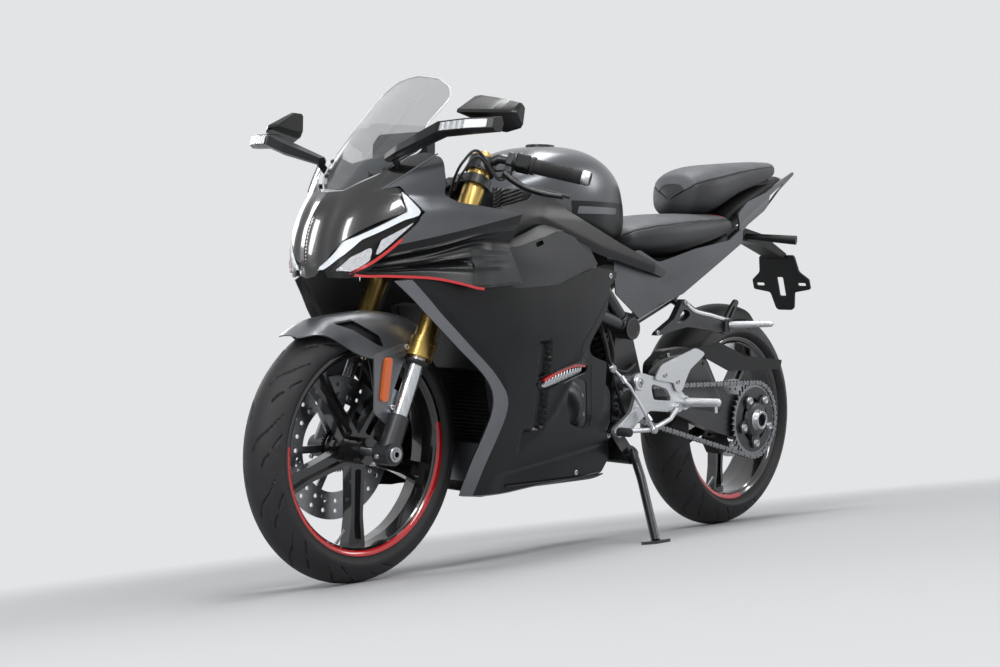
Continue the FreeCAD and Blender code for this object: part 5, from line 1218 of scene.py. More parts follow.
def seat_pad(stations, ends, seam, along=90):
    """Loft with a groove of 2.6 mm at the seam's angle on both sides and shallow sags between sewn points."""
    grid = lofted(stations, along, AROUND, 2.7, ends)
    turn = np.linspace(0, 360, AROUND, endpoint=False)
    near = np.minimum(np.abs(turn - seam), np.abs(turn - (180 - seam)))
    sink = -2.6 * bump(near, 0, 2.6)[None, :]
    sag = 0.7 * np.sin(grid[..., 0] / 9.0) * bump(near, 0, 7.0)[None, :]
    return pushed(grid, (sink + sag)[..., None]), int(AROUND * seam / 360)


def top_cover(grid, first, rows):
    """The part of the pad between its two seams, 1 mm proud, as its own thin sheet."""
    patch = pushed(grid, 1.1)[rows, first + 1:AROUND // 2 - first]
    return thick(surface(patch), (0, 0, -1.0))


def stitches(grid, columns, row, count):
    """A row of thread ends across a pad: short rods that lie on it between two columns."""
    path = curve_through(pushed(grid, 1.5)[row, columns], count * 4)
    return [carried(circle(0.8, 6), path[k * 4:k * 4 + 3], (1, 0, 0)) for k in range(count)]


rider_grid, rider_seam = seat_pad(RIDER, (26, 30), 30)
rider_side = make("rider_seat_pad", "chassis", black_vinyl, [closed_ends(rider_grid)])
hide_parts("rider_seat")
rider_top = make("rider_seat_top_cover", "chassis", grey_vinyl, [top_cover(rider_grid, rider_seam, slice(3, -3))])
seam_line = pushed(rider_grid, 0.4)[6:-5, rider_seam]
make("rider_seat_piping", "chassis", black_vinyl, pair(pipe(seam_line[::6], 1.3, 80, 8)))
sewn = slice(rider_seam + 3, AROUND // 2 - rider_seam - 2)
make("rider_seat_red_stitches", "chassis", red_thread,
     stitches(rider_grid, sewn, 74, 34) + stitches(rider_grid, sewn, 76, 34))

BASE_PAN = [(-790, 70, 716, 752), (-850, 96, 708, 752), (-920, 108, 704, 748), (-1000, 118, 714, 754),
            (-1100, 120, 736, 776), (-1200, 112, 762, 802), (-1284, 98, 790, 832)]
make("seat_base_pan", "chassis", grained_black, [closed_ends(lofted(BASE_PAN))])

pillion_grid, pillion_seam = seat_pad(PILLION, (26, 24), 24)
pillion_side = make("pillion_seat_pad", "chassis", black_vinyl, [closed_ends(pillion_grid)])
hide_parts("pillion_seat")
pillion_top = make("pillion_seat_top_cover", "chassis", grey_vinyl,
                   [top_cover(pillion_grid, pillion_seam, slice(8, -6))])

# %% [markdown]
# Below the seats the tail's side covers are satin graphite with a raised field, and two blades with long
# slots rise to the tip. The red lamp between them is the CAD's own piece.

# %% Tail covers and blades
COVER = [(-730, 648, 10), (-716, 730, 20), (-820, 760, 20), (-900, 731, 40), (-1055, 771, 40), (-1222, 800, 30),
         (-1292, 838, 10), (-1290, 796, 10), (-1079, 688, 40), (-1009, 652, 40), (-916, 626, 20), (-825, 588, 10)]
BLADE = [(-1290, 876, 10), (-1350, 912, 30), (-1470, 944, 40), (-1620, 1000, 20), (-1676, 1020, 4),
         (-1672, 1010, 4), (-1580, 962, 20), (-1465, 892, 40), (-1355, 848, 20), (-1302, 818, 10)]


def cover_y(x, z):
    """Side cover: nearly flat, 6e-5 of the square of x from its middle, with a raised wedge-shaped field."""
    foot = 664 + (-x - 900) * 0.30
    field = ease(z, foot, foot + 20) * (1 - ease(-x, 1120, 1200)) * ease(-x, 900, 960)
    return 150 - 6e-5 * (x + 950) ** 2 + 3.5 * field


def blade_y(x, z):
    """Blade's outer face, closing in by 0.18 along its length, with a soft crease."""
    middle = np.interp(x, [-1676, -1465, -1302], [1014, 922, 850])
    return 128 + 0.18 * (x + 1290) + 2.2 * bump(z - middle, 0, 8)


BLADE_SLOT = [(-1500, 938, 6), (-1600, 982, 4), (-1588, 972, 4), (-1500, 916, 6)]
tail = make("graphite_tail_covers", "chassis", graphite_paint,
            pair(sheet(COVER, cover_y, -3, 6), sheet(BLADE, blade_y, -6, 5, [BLADE_SLOT])), bevel=1.0, segments=3)
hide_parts("tail_fairing")

# %% [markdown]
# The screen is smoked polycarbonate, 3 mm thick, bent on one surface. Its polished edge gathers light and
# shows as a bright line; that line is a painted highlight, a thin bead of pale opaque colour round the
# whole outline. Behind the screen stand the dash's flat display and a grained hood.

# %% Screen, its base and the dash
def screen_x(y, z):
    """Screen surface: it leans back by 0.72 of its rise plus 0.00062 of the square, and wraps by 0.003 y^2."""
    rise = z - 846
    return 84 - 0.72 * rise - 0.00062 * rise ** 2 - 0.003 * y * y


SCREEN_HALF = [(34, 856, 20), (95, 896, 40), (136, 946, 14), (115, 1008, 50), (122, 1072, 50), (104, 1098, 30),
               (66, 1121, 60)]
SCREEN = symmetric((0, 850, 12), SCREEN_HALF, (0, 1131, 40))
screen = make("smoked_windscreen", "chassis", smoked_screen,
              [sheet(SCREEN, screen_x, -3, 7, plane="front")], bevel=0.6)
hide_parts("windscreen")
y, z = dense(rounded(SCREEN), 6.0).T
edge_path = curve_through(np.stack([screen_x(y, z) - 1.5, y, z], 1), 260, closed=True)


def ring_bead(path, radius, count=8):
    """Round bead carried round a closed path, in the planes across it."""
    ahead = unit(np.roll(path, -1, 0) - np.roll(path, 1, 0))
    one = unit(np.cross(ahead, (1.0, 0.2, 0.3)))
    two = np.cross(ahead, one)
    turn = turns(count)[None, :, None]
    grid = path[:, None] + radius * (one[:, None] * np.cos(turn) + two[:, None] * np.sin(turn))
    return surface(grid, close_rows=True, close_columns=True)


# Painted highlight: a pale bead round the screen's outline.
make("windscreen_edge_painted_highlight", "chassis", pale_edge_highlight_paint, [ring_bead(edge_path, 1.9)])
BASE_HALF = [(32, 862, 20), (88, 900, 30), (120, 944, 10), (96, 958, 20), (60, 934, 40)]
SCREEN_BASE = symmetric((0, 858, 20), BASE_HALF, (0, 918, 30))
make("screen_base_panel", "chassis", pale_graphite_paint,
     [sheet(SCREEN_BASE, lambda y, z: screen_x(y, z) - 6.5, -2, 7, plane="front")], bevel=0.5)
screen_bolts = [bolt((float(screen_x(y, z)), y, z), (0.8, 0.1, 0.6), 5.0, 3.0) for y, z in ((70, 893), (104, 930))]
make("windscreen_bolts", "chassis", black_powder, pair(*screen_bolts))
DISPLAY = [(-76, 914, 8), (76, 914, 8), (76, 976, 8), (-76, 976, 8)]
make("dash_display", "chassis", display_glass, [sheet(DISPLAY, -145.4, -1.6, 12, plane="front")], bevel=0.5)
HOOD = [(-92, 982, 10), (92, 982, 10), (84, 1000, 10), (-84, 1000, 10)]
make("dash_hood", "chassis", grained_black,
     [sheet(HOOD, lambda y, z: -126 - 0.6 * (z - 982), (-26, 0, -4), 10, plane="front")], bevel=1.5)

# %% [markdown]
# Mirrors are angular: a wedge whose rear rim holds the glass, over a broad flat arm that ends in the
# indicator. Both are rings of corners joined by straight runs, with a bevel that rounds each corner.

# %% Mirrors and front indicators
def straight_runs(rings, steps):
    """Grid between rings of corners: p = (1 - s) ring + s next ring, with s from 0 to 1 in even steps."""
    rings = np.asarray(rings, float)
    spots = np.linspace(0, len(rings) - 1, steps * (len(rings) - 1) + 1)
    low = np.minimum(spots.astype(int), len(rings) - 2)
    share = (spots - low)[:, None, None]
    return rings[low] * (1 - share) + rings[low + 1] * share


def angular(stations, section, steps):
    """One section, scaled and set at each (across, x, z, half x, half z) row, with straight runs between."""
    rings = [[(x + wide * a, y, z + tall * b) for a, b in section] for y, x, z, wide, tall in stations]
    return straight_runs(rings, steps)


def across_rows(rows, shares):
    """Grid between the first and the last point of each row."""
    return between(rows[:, 0], rows[:, 1], shares)


ARM = np.array([(106, 16, 928, 12, 10), (150, 22, 942, 16, 12.5), (215, 24, 961, 20, 15.5), (272, 20, 981, 22, 17),
                (335, 0, 986, 22, 17.5), (388, -22, 988, 17, 16)])
ARM_SECTION = [(1, -0.55), (0.75, 0.75), (-0.7, 1), (-1, 0.0), (-0.6, -1), (0.5, -1)]
HEAD = {288: [(-6, 1018), (-8, 1024), (-56, 1054), (-78, 1054), (-83, 1049), (-83, 1014), (-70, 1010)],
        302: [(12, 1013), (10, 1020), (-60, 1056), (-82, 1055), (-88, 1049), (-88, 1000), (-74, 998)],
        352: [(-24, 1013), (-26, 1020), (-70, 1047), (-85, 1046), (-91, 1040), (-89, 978), (-76, 978)],
        392: [(-56, 1014), (-58, 1019), (-80, 1037), (-89, 1036), (-94, 1030), (-87, 984), (-76, 990)],
        399: [(-66, 1014), (-68, 1017), (-82, 1030), (-88, 1029), (-91, 1025), (-86, 992), (-78, 996)]}
HEAD_STEPS, LENS_STEPS, GLASS_STEPS = 10, 16, 8
head_grid = straight_runs([[(x, y, z) for x, z in corners] for y, corners in HEAD.items()], HEAD_STEPS)
arm_grid = angular(ARM, ARM_SECTION, HEAD_STEPS)
foot = pipe([(-56, 118, 880), (-20, 118, 898), (12, 120, 926)], 8, 20, 14)
mirror = make("angular_mirrors", "chassis", panel_black, pair(closed_ends(arm_grid), closed_ends(head_grid), foot),
              bevel=2.2, segments=3)
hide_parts("mirrors")
lens_y = np.array([280.0, 300.0, 335.0, 376.0])
lens_stations = np.stack([lens_y] + [np.interp(lens_y, ARM[:, 0], ARM[:, k]) for k in range(1, 5)], 1)
lens_rows = angular(lens_stations, [(1.06, -0.5), (0.80, 0.62)], LENS_STEPS)
for name, material, shares, off, rib, back in (
        ("lenses", smoked_screen, np.linspace(0, 1, 7), 0.9, 2.6, -1.5),
        ("reflectors", blasted_alloy, np.linspace(0.05, 0.95, 7), 0.5, 4.0, -0.6)):
    grid = across_rows(lens_rows, shares)
    grid[..., 0] += off + off * np.abs(np.sin(grid[..., 1] / rib))
    make("mirror_indicator_" + name, "chassis", material, pair(thick(surface(grid), (back, 0, 0))))
glass_rows = straight_runs([[(-89.2, 306, 1004), (-89.2, 306, 1045)], [(-90.2, 352, 983), (-91.8, 352, 1036)],
                            [(-88.6, 388, 990), (-94.4, 388, 1026)]], GLASS_STEPS)
make("mirror_glasses", "chassis", mirror_glass,
     pair(thick(surface(across_rows(glass_rows, np.linspace(0, 1, 8))), (-1.2, 0, 0))))

# %% [markdown]
# The fork's legs and the bars turn with the steering, and so do the pieces below. A dust seal closes
# each gold tube, a cap its top, and pinch bolts hold the tubes in the yokes. A hose and a wire run
# down to the brake.

# %% Fork details
RAKE, LEG_Y, AXLE_END = math.radians(23.5), 105.0, 128.5
LEG_AXIS = (-math.sin(RAKE), 0, math.cos(RAKE))


def on_leg(height, side, ahead=0.0, out=0.0):
    """Point of a leg's centre line at a height, moved ahead and outwards."""
    return np.array([-math.tan(RAKE) * (height - FRONT_Z) + ahead, side * (LEG_Y + out), height])


SEAL = [(-9, 18.7), (-9, 24), (-6, 27), (-1, 28.5), (0.2, 28.5)]
TOP_CAP = [(0, 26.6), (5, 26.6), (7, 24.5), (8, 15), (14, 14), (16, 12), (16, 0.01)]
COLLAR = [(-2.2, 29.8), (-1.6, 31.2), (1.6, 31.2), (2.2, 29.8)]
for name, material, profile, heights, count in (("dust_seals", hose_rubber, SEAL, (489,), 48),
                                                ("top_caps", gold_anodised, TOP_CAP, (947,), 48),
                                                ("collar_bands", gold_anodised, COLLAR, (498, 527), 64)):
    make("fork_" + name, "front_end", material,
         [turned(profile, on_leg(height, side), LEG_AXIS, count) for side in (1, -1) for height in heights])
AXLE_RING = [(-3, 10.2), (3.5, 10.2), (5, 11.5), (5, 15.5), (3.5, 17.0), (-3, 17.0)]
make("front_axle_rings", "front_end", zinc_steel,
     [turned(AXLE_RING, (0, AXLE_END * side, FRONT_Z), (0, side, 0), 40) for side in (1, -1)])
pinch = [bolt(on_leg(272 + 16 * k, side, 26 - 3 * k, -4), (1, 0, 0.2), 5.2, 4.5)
         for side in (1, -1) for k in (0, 1)]
pinch += [bolt(on_leg(height, side, 38, -18), (1, 0, 0.4), 5.0, 4.5)
          for side in (1, -1) for height in (742, 728, 905)]
make("fork_pinch_bolts", "front_end", zinc_steel, pinch)
stay_bolts = [bolt((x, 92.5, z), radius=6.5, height=4.5) for x, z in ((-62, 522), (-22, 392))]
make("mudguard_bolts", "front_end", zinc_steel, pair(*stay_bolts))
HOSE = [(-262, -74, 872), (-210, -64, 780), (-160, -66, 660), (-104, -72, 540), (-128, -80, 440), (-142, -84, 388)]
SENSOR_WIRE = [(-250, -64, 866), (-200, -54, 770), (-150, -56, 655), (-92, -60, 530), (-70, -66, 430),
               (-40, -72, 340)]
make("front_brake_hose", "front_end", hose_rubber, [pipe(HOSE, 3.6, 90, 10), pipe(SENSOR_WIRE, 2.4, 90, 8)])

# %% [markdown]
# Grips are moulded rubber sleeves: fine grooves round them come from a cosine on the radius. Levers are
# forged blades, flat and curved, and the bar ends are turned weights.

# %% Grips, bar ends and levers
BAR_INNER, BAR_TIP = np.array([-300.0, 165, 944]), np.array([-384.0, 306, 908])
BAR_LENGTH = np.linalg.norm(BAR_TIP - BAR_INNER)
BAR_RUN = (BAR_TIP - BAR_INNER) / BAR_LENGTH
BAR_AHEAD = unit(np.cross((0, 1, 0), BAR_RUN))
BAR_AHEAD = BAR_AHEAD * np.sign(BAR_AHEAD[0])
BAR_UP = np.cross(BAR_RUN, BAR_AHEAD) * np.sign(np.cross(BAR_RUN, BAR_AHEAD)[2])
GRIP_START = 58


def on_bar(along, ahead=0.0, up=0.0):
    """Point by the left bar: along it from its inner end, ahead of it and above it."""
    return BAR_INNER + BAR_RUN * along + BAR_AHEAD * ahead + BAR_UP * up


spots = np.linspace(GRIP_START, BAR_LENGTH + 4, 130)
grooves = band(spots, 78, BAR_LENGTH - 14, 4) * 0.9 * np.cos(spots * 2 * np.pi / 5.2) + 3.5 * bump(spots, 60, 2.6)
sleeve = [(0, 11.2), *zip(spots - GRIP_START, 16.9 + grooves), (spots[-1] - GRIP_START, 11.2)]
make("ribbed_grip_sleeves", "front_end", grip_rubber, pair(turned(sleeve, on_bar(GRIP_START), BAR_RUN, 40)))
WEIGHT = [(4, 0.01), (4, 12), (6, 15.4), (9, 16.4), (22, 16.4), (25, 15), (25, 9), (20, 8.4), (19, 0.01)]
make("bar_end_weights", "front_end", blasted_alloy, pair(turned(WEIGHT, on_bar(BAR_LENGTH), BAR_RUN, 40)))
LEVER = [(2, 34, 2), (26, 47, 4), (62, 58, 4), (102, 60, 2), (136, 57, 0), (148, 56, 0)]
LEVER_SECTION = np.array([(-3.6, -5.2), (-1.5, -6.6), (2.0, -6.6), (3.6, -4.0), (3.6, 4.0), (2.0, 6.6), (-1.5, 6.6),
                          (-3.6, 5.2)])


def lever_blade(steps=70):
    """Flat blade along a curve in front of the grip, which narrows to its rounded tip."""
    path = curve_through([on_bar(*spot) for spot in LEVER], steps)
    t = np.linspace(0, 1, steps)
    scale = (1.5 - 0.45 * t) * np.sqrt(np.clip((1.002 - t) / 0.05, 0.02, 1)) + 0.12 * bump(t, 0.95, 0.03)
    return carried(LEVER_SECTION, path, BAR_UP, scale)


make("lever_blades", "front_end", black_powder, pair(lever_blade()))


def boxed(start, end, wide, tall, corner=0.35, steps=14):
    """Block with rounded edges between two points: a squared ellipse carried along, drawn in at both ends."""
    c, s = np.cos(turns(40)), np.sin(turns(40))
    profile = np.stack([wide * np.sign(c) * np.abs(c) ** corner, tall * np.sign(s) * np.abs(s) ** corner], 1)
    t = np.linspace(0, 1, steps)
    path = start + (end - start) * t[:, None]
    return carried(profile, path, BAR_UP, 0.86 + 0.14 * np.sqrt(np.clip(np.minimum(t, 1 - t) / 0.12, 0, 1)))


make("switch_housings", "front_end", grained_black, pair(boxed(on_bar(20), on_bar(53), 18.5, 19.5)))
keys = [boxed(on_bar(26 + 9 * k, -13, up), on_bar(32 + 9 * k, -13, up), 6.5, 4) for k, up in enumerate((12, 5, 12))]
make("switch_keys", "front_end", pale_graphite_paint, pair(*keys))
make("lever_perches", "front_end", cast_black,
     pair(boxed(on_bar(0), on_bar(15), 17, 18), boxed(on_bar(6, 4, 0), on_bar(10, 38, 0), 8, 9)))
make("lever_pivot_bolts", "front_end", zinc_steel, pair(bolt(on_bar(9, 34, 7), BAR_UP, 5.2, 3.5)))
CUP = [(0, 0.01), (0, 15), (24, 17), (26, 18), (30, 18), (31, 16), (31, 0.01)]
make("brake_fluid_cup", "front_end", grained_black, [turned(CUP, on_bar(6, 20, 16) * (1, -1, 1), (0, 0, 1), 36)])
CABLES = [([on_bar(4, 34), on_bar(-14, 44, 2), (-240, 128, 962), (-212, 110, 936), (-206, 90, 900),
            (-216, 70, 868)], 3.2, 70),
          ([on_bar(14, 30), on_bar(-6, 52, 4), (-232, 138, 948), (-208, 114, 912), (-210, 86, 872)], 2.6, 60),
          ([on_bar(40, 4, -16), on_bar(10, 12, -22), (-286, 120, 916), (-262, 92, 880), (-262, 62, 858)], 3.0, 60)]
make("control_cables", "front_end", hose_rubber,
     pair(*[pipe(route, radius, steps, 10) for route, radius, steps in CABLES]))

# %% [markdown]
# Between the fork and the tank lies a ribbed rubber duct. Its ribs are a sine across the sheet, cut off
# before its border so that the border stays flat.

# %% Ribbed ducts ahead of the tank
DUCT = [(-350, 890, 4), (-436, 886, 10), (-424, 846, 20), (-392, 804, 14), (-358, 790, 6), (-348, 820, 10)]


def duct_y(x, z):
    """Duct's wall, 4 mm outside the tank's front, with ribs 8.5 mm apart that slope back."""
    ribs = 2.2 * np.sin((z + 0.5 * x) * 2 * np.pi / 8.5) * band(x, -416, -356, 5)
    return np.maximum(74 + 0.10 * (x + 380), tank_y(x, z) + 4) + ribs


make("ribbed_side_ducts", "chassis", hose_rubber, pair(sheet(DUCT, duct_y, -3, 2.4)))

# %% [markdown]
# The chain is drawn link by link on its real pitch of 15.875 mm: each link is a pair of plates shaped
# like an eight, and every second pair lies outside. Rollers join them. The pins stand at equal steps,
# so one outline serves all links.

# %% Chain, link by link
PITCH, CHAIN_Y, REAR_TEETH, FRONT_TEETH = 15.875, 125.0, 41, 14
BIG, SMALL = (PITCH / (2 * math.sin(math.pi / teeth)) for teeth in (REAR_TEETH, FRONT_TEETH))
REAR_HUB, FRONT_HUB = np.array((REAR_X, REAR_Z)), np.array((-808.0, 377.0))


def chain_pins():
    """Pins at equal steps round the loop: two tangents of the pitch circles and the arcs between them."""
    run = FRONT_HUB - REAR_HUB
    slope, lean = math.atan2(run[1], run[0]), math.acos((BIG - SMALL) / np.linalg.norm(run))
    front = slope + np.linspace(lean, -lean, 80)
    rear = slope + np.linspace(-lean, lean - 2 * np.pi, 240)
    ring = np.concatenate([FRONT_HUB + SMALL * np.stack([np.cos(front), np.sin(front)], 1),
                           REAR_HUB + BIG * np.stack([np.cos(rear), np.sin(rear)], 1)])
    ring = np.concatenate([ring, ring[:1]])
    length = run_lengths(ring)
    count = 2 * round(length[-1] / PITCH / 2)
    spots = np.linspace(0, length[-1], count, endpoint=False)
    return np.stack([np.interp(spots, length, ring[:, k]) for k in (0, 1)], 1)


def slab(outline, low, high):
    """Flat plate between two values of y, from a closed (x, z) outline, with one face on each side."""
    n = len(outline)
    front = np.stack([outline[:, 0], np.full(n, low), outline[:, 1]], 1)
    back = front + (0, high - low, 0)
    walls = [[k, (k + 1) % n, n + (k + 1) % n, n + k] for k in range(n)]
    return np.concatenate([front, back]), [list(range(n))[::-1], list(range(n, 2 * n))] + walls


def plate(corners, low, high, holes=(), step=9.0):
    """Flat plate between two values of y, from rounded corners, with its holes."""
    return sheet(corners, low, high - low, step, holes)


def link_outline():
    """Outline like an eight about a link's middle: two waisted edges, and a round end at each pin."""
    along = np.linspace(-1, 1, 9)
    edge = np.stack([along * PITCH * 0.42, 3.9 + 2.6 * np.abs(along) ** 1.5], 1)
    turn = np.linspace(1.25, -1.25, 5)
    end = np.stack([PITCH / 2 + 7.0 * np.cos(turn), 7.0 * np.sin(turn)], 1)
    return np.concatenate([edge, end, -edge, -end])


INNER_PLATE, OUTER_PLATE = (3.3, 5.0), (5.3, 7.2)
ROLLER = [(-8.3, 0.01), (-8.3, 2.6), (-3.2, 2.6), (-3.2, 4.9), (3.2, 4.9), (3.2, 2.6), (8.3, 2.6), (8.3, 0.01)]
eight, pins = link_outline(), chain_pins()
links, rollers = [], []
for k, pin in enumerate(pins):
    run = pins[(k + 1) % len(pins)] - pin
    ahead = unit(run)
    shape = (pin + run / 2) + eight[:, :1] * ahead + eight[:, 1:] * np.array((-ahead[1], ahead[0]))
    near, far = INNER_PLATE if k % 2 else OUTER_PLATE
    links += [slab(shape, CHAIN_Y + side * near, CHAIN_Y + side * far) for side in (-1, 1)]
    rollers.append(turned(ROLLER, (pin[0], CHAIN_Y, pin[1]), count=10))
chain = make("roller_chain", "chassis", chain_steel, links + rollers)
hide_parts("chain")
print(len(pins), "links")

# %% [markdown]
# The rear sprocket's carrier is a black five-armed casting with a silver nut on each arm, round a large
# hub nut. A black ring backs the sprocket inside its teeth.

# %% Rear hub and sprocket carrier
hub_at = np.array((REAR_X, 0.0, REAR_Z))
ARM_TURN, NUT_REACH = 18, 66
arm_verts, arm_faces = plate([(6, -15), (58, -19, 8), (79, -12, 8), (79, 12, 8), (58, 19, 8), (6, 15)], 128.4, 134.4)
arms = around_axle((arm_verts + hub_at, arm_faces), 5, hub_at, ARM_TURN)
boss = turned([(128.5, 20), (128.5, 50), (137, 46), (140, 40), (140, 20)], hub_at, count=60)
make("sprocket_carrier", "rear_wheel", cast_black, arms + [boss], bevel=1.2)
HUB_NUT = [(133, 17.2), (133, 29), (140, 30), (142, 28), (153, 26), (155, 24.5), (155, 20), (150, 18.5), (150, 17.2)]
ARM_NUT = [(131, 0.01), (131, 11.5), (137, 11.5), (138.5, 10.2), (141, 10.2), (142, 9), (142, 6.2), (140, 5.6),
           (139.6, 0.01)]
nuts = [turned(ARM_NUT, hub_at + (NUT_REACH * math.cos(a), 0, -NUT_REACH * math.sin(a)), count=20)
        for a in turns(5) + math.radians(ARM_TURN)]
make("hub_nut_and_sprocket_nuts", "rear_wheel", zinc_steel, [turned(HUB_NUT, hub_at, count=48)] + nuts, bevel=0.5)
RING = [(121.9, 62), (121.9, 91), (128.2, 91), (128.2, 62)]
make("sprocket_inner_ring", "rear_wheel", cast_black, [turned(RING, hub_at, count=90)])

# %% [markdown]
# The swingarm's cover is a moulded shell over the beam: one height map, with a long hollow and an
# edge that is drawn down all round. The chain guard is a flat blade on a pad.

# %% Swingarm cover, hub ring and chain guard
ARM_COVER = [(-912, 448, 14), (-985, 496, 40), (-1080, 504, 50), (-1168, 474, 60), (-1236, 384, 40),
             (-1262, 352, 20), (-1240, 330, 20), (-1010, 362, 40), (-925, 372, 20)]
cover_border = dense(rounded(ARM_COVER), 5.0)


def cover_shell_y(x, z):
    """Cover's height: 6.5 mm over its foot, sunk 4.5 mm in a long hollow and drawn down over its last 10 mm."""
    edge = nearest(np.stack([x, z], 1), cover_border)
    hollow = ease((x + 1230) / 60, 0, 1) * ease((-985 - x) / 50, 0, 1) * bump(z, 400 + 0.12 * (x + 1100), 26)
    return 114.6 + 6.5 * ease(edge, 0, 10) - 4.5 * hollow


make("swingarm_cover", "chassis", cast_black, [sheet(ARM_COVER, cover_shell_y, -1.5, 6)])
make("swingarm_cover_bolts", "chassis", black_powder,
     [bolt((x, 120.2, z), radius=5.5, height=3) for x, z in ((-935, 440), (-1150, 468), (-1215, 362))])
eccentric = [turned([(114, 42), (117.5, 46), (117.5, 60), (115.5, 61.5), (113, 61.5)], hub_at, count=72)]
pinch_lug = [plate([(-1330, 380, 6), (-1296, 352, 10), (-1310, 338, 6), (-1346, 364, 6)], 100, 114.5)]
make("hub_eccentric_ring", "chassis", cast_grey, eccentric + pinch_lug, bevel=0.8)
make("hub_pinch_bolts", "chassis", zinc_steel,
     [bolt((-1316, 107, 246), (0.2, 0, -1), 6, 5), bolt((-1296, 107, 352), (0.5, 0, 1), 6, 5)])
GUARD = [(-930, 484, 10), (-1010, 506, 20), (-1176, 512, 20), (-1224, 524, 10), (-1356, 484, 20), (-1546, 470, 4),
         (-1532, 444, 4), (-1276, 444, 20), (-1150, 486, 20)]
GUARD_PAD = [(-1000, 478, 4), (-1080, 490, 4), (-1080, 500, 4), (-1000, 492, 4)]
guard = make("chain_guard_blade", "chassis", grained_black,
             [plate(GUARD, 115.8, 120.2), plate(GUARD_PAD, 114, 116.2)], bevel=1.2, segments=3)
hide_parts("chain_guard")
make("chain_guard_bolts", "chassis", zinc_steel,
     [bolt((x, 120, z), radius=6, height=3.5) for x, z in ((-990, 492), (-1100, 500))])

# %% [markdown]
# Each footrest bracket is a forged and bead-blasted plate with machined edges. The heel guard lies on
# two spacers outside it. The peg's knurl is a fine diamond pattern of raised pyramids.

# %% Footrest brackets and pegs
BRACKET = [(-760, 446, 16), (-793, 454, 14), (-934, 421, 12), (-980, 393, 16), (-999, 366, 14), (-958, 347, 12),
           (-832, 357, 30), (-772, 322, 20), (-711, 294, 12), (-682, 312, 12), (-756, 357, 30), (-772, 398, 30)]
BRACKET_WINDOW = [(-832, 426, 10), (-902, 410, 10), (-926, 378, 10), (-846, 384, 10)]
GUARD_PLATE = [(-838, 436, 10), (-868, 472, 12), (-1018, 513, 8), (-1062, 498, 8), (-990, 456, 22), (-958, 400, 10),
               (-930, 404, 8), (-926, 424, 20)]
bracket = plate(BRACKET, 174, 184, [BRACKET_WINDOW], 12)
rib = plate([(-778, 372, 10), (-826, 372, 10), (-938, 362, 10), (-930, 354, 8), (-826, 360, 20), (-772, 330, 14),
             (-708, 304, 6), (-700, 312, 6)], 183, 188, (), 12)
heel = plate(GUARD_PLATE, 186.5, 190.5, (), 12)
mounts = [turned([(112, 15), (170, 15), (170, 19), (188, 19), (190, 17), (190, 11), (186, 10), (186, 0.01)],
                 (x, 0, z), count=40) for x, z in ((-784, 428), (-978, 372))]
inner_boss = turned([(112, 0.01), (112, 9), (176, 9), (176, 0.01)], (-862, 0, 434), count=24)
SPACER = [(183, 0.01), (183, 8), (187, 8), (187, 0.01)]
spacers = [turned(SPACER, (x, 0, z), count=20) for x, z in ((-884, 446), (-940, 428))]
rests = make("forged_footrest_brackets", "chassis", blasted_alloy,
             pair(bracket, rib, heel, inner_boss, *mounts, *spacers), bevel=1.6, segments=3)
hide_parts("rider_footrests")
hardware = [bolt(place, radius=radius, height=height)
            for place, radius, height in (((-784, 185, 428), 9.5, 5), ((-884, 190, 446), 7, 4),
                                          ((-940, 190, 428), 7, 4), ((-702, 187.5, 306), 6.5, 4))]
make("footrest_bolts", "chassis", zinc_steel, pair(*hardware))


def knurled(start, end, radius, end_radius, cells=22, rows=12):
    """Round bar with a diamond knurl: the radius rises by the product of two crossed triangle waves."""
    t, a = np.linspace(0, 1, cells * 6)[:, None], np.linspace(0, 2 * np.pi, rows * 6, endpoint=False)[None]
    waves = [np.abs((cells * t + way * rows * a / (2 * np.pi)) % 1 - 0.5) * 2 for way in (1, -1)]
    grown = radius + (end_radius - radius) * t + 1.5 * waves[0] * waves[1] * band(t, 0.06, 0.95, 0.03)
    grown *= np.sqrt(np.clip((1.004 - t) / 0.05, 0.02, 1))
    line = start + np.subtract(end, start) * t
    one, two = frames_along(line)
    spokes = one[:, None] * np.cos(a)[..., None] + two[:, None] * np.sin(a)[..., None]
    return closed_ends(line[:, None] + grown[..., None] * spokes)


peg_core = pipe([(-966, 176, 372), (-969, 205, 374)], 13, 6, 24)
feeler = pipe([(-976, 284, 372), (-976, 285, 352)], 4, 6, 14)
make("knurled_rider_pegs", "chassis", blasted_alloy,
     pair(knurled((-968, 200, 374), (-976, 298, 379), 11.5, 9.5), peg_core, feeler))
TOE = [(0, 0.01), (0, 8.5), (2, 11), (34, 11), (37, 9), (38, 0.01)]
make("pedal_toe_rubbers", "chassis", grip_rubber, pair(turned(TOE, (-676, 208, 314), count=24)))
BALL, NUT = [(-7, 0.01), (-7, 6), (-2, 9.5), (4, 9.5), (7, 6), (7, 0.01)], [(-9, 4.2), (-9, 6.8), (9, 6.8), (9, 4.2)]
make("shift_rod_joints", "chassis", zinc_steel,
     [turned(BALL, spot, (0.3, 1, 0), 20) for spot in ((-812, 214, 312), (-704, 163, 464))]
     + [turned(NUT, spot, (0.5, -0.3, 0.8), 6) for spot in ((-792, 210, 342), (-724, 180, 438))])

# %% [markdown]
# The pillion hangers are powder-coated forgings with a pale machined face on top, a hook at the rear
# and folding pegs with the same knurl.

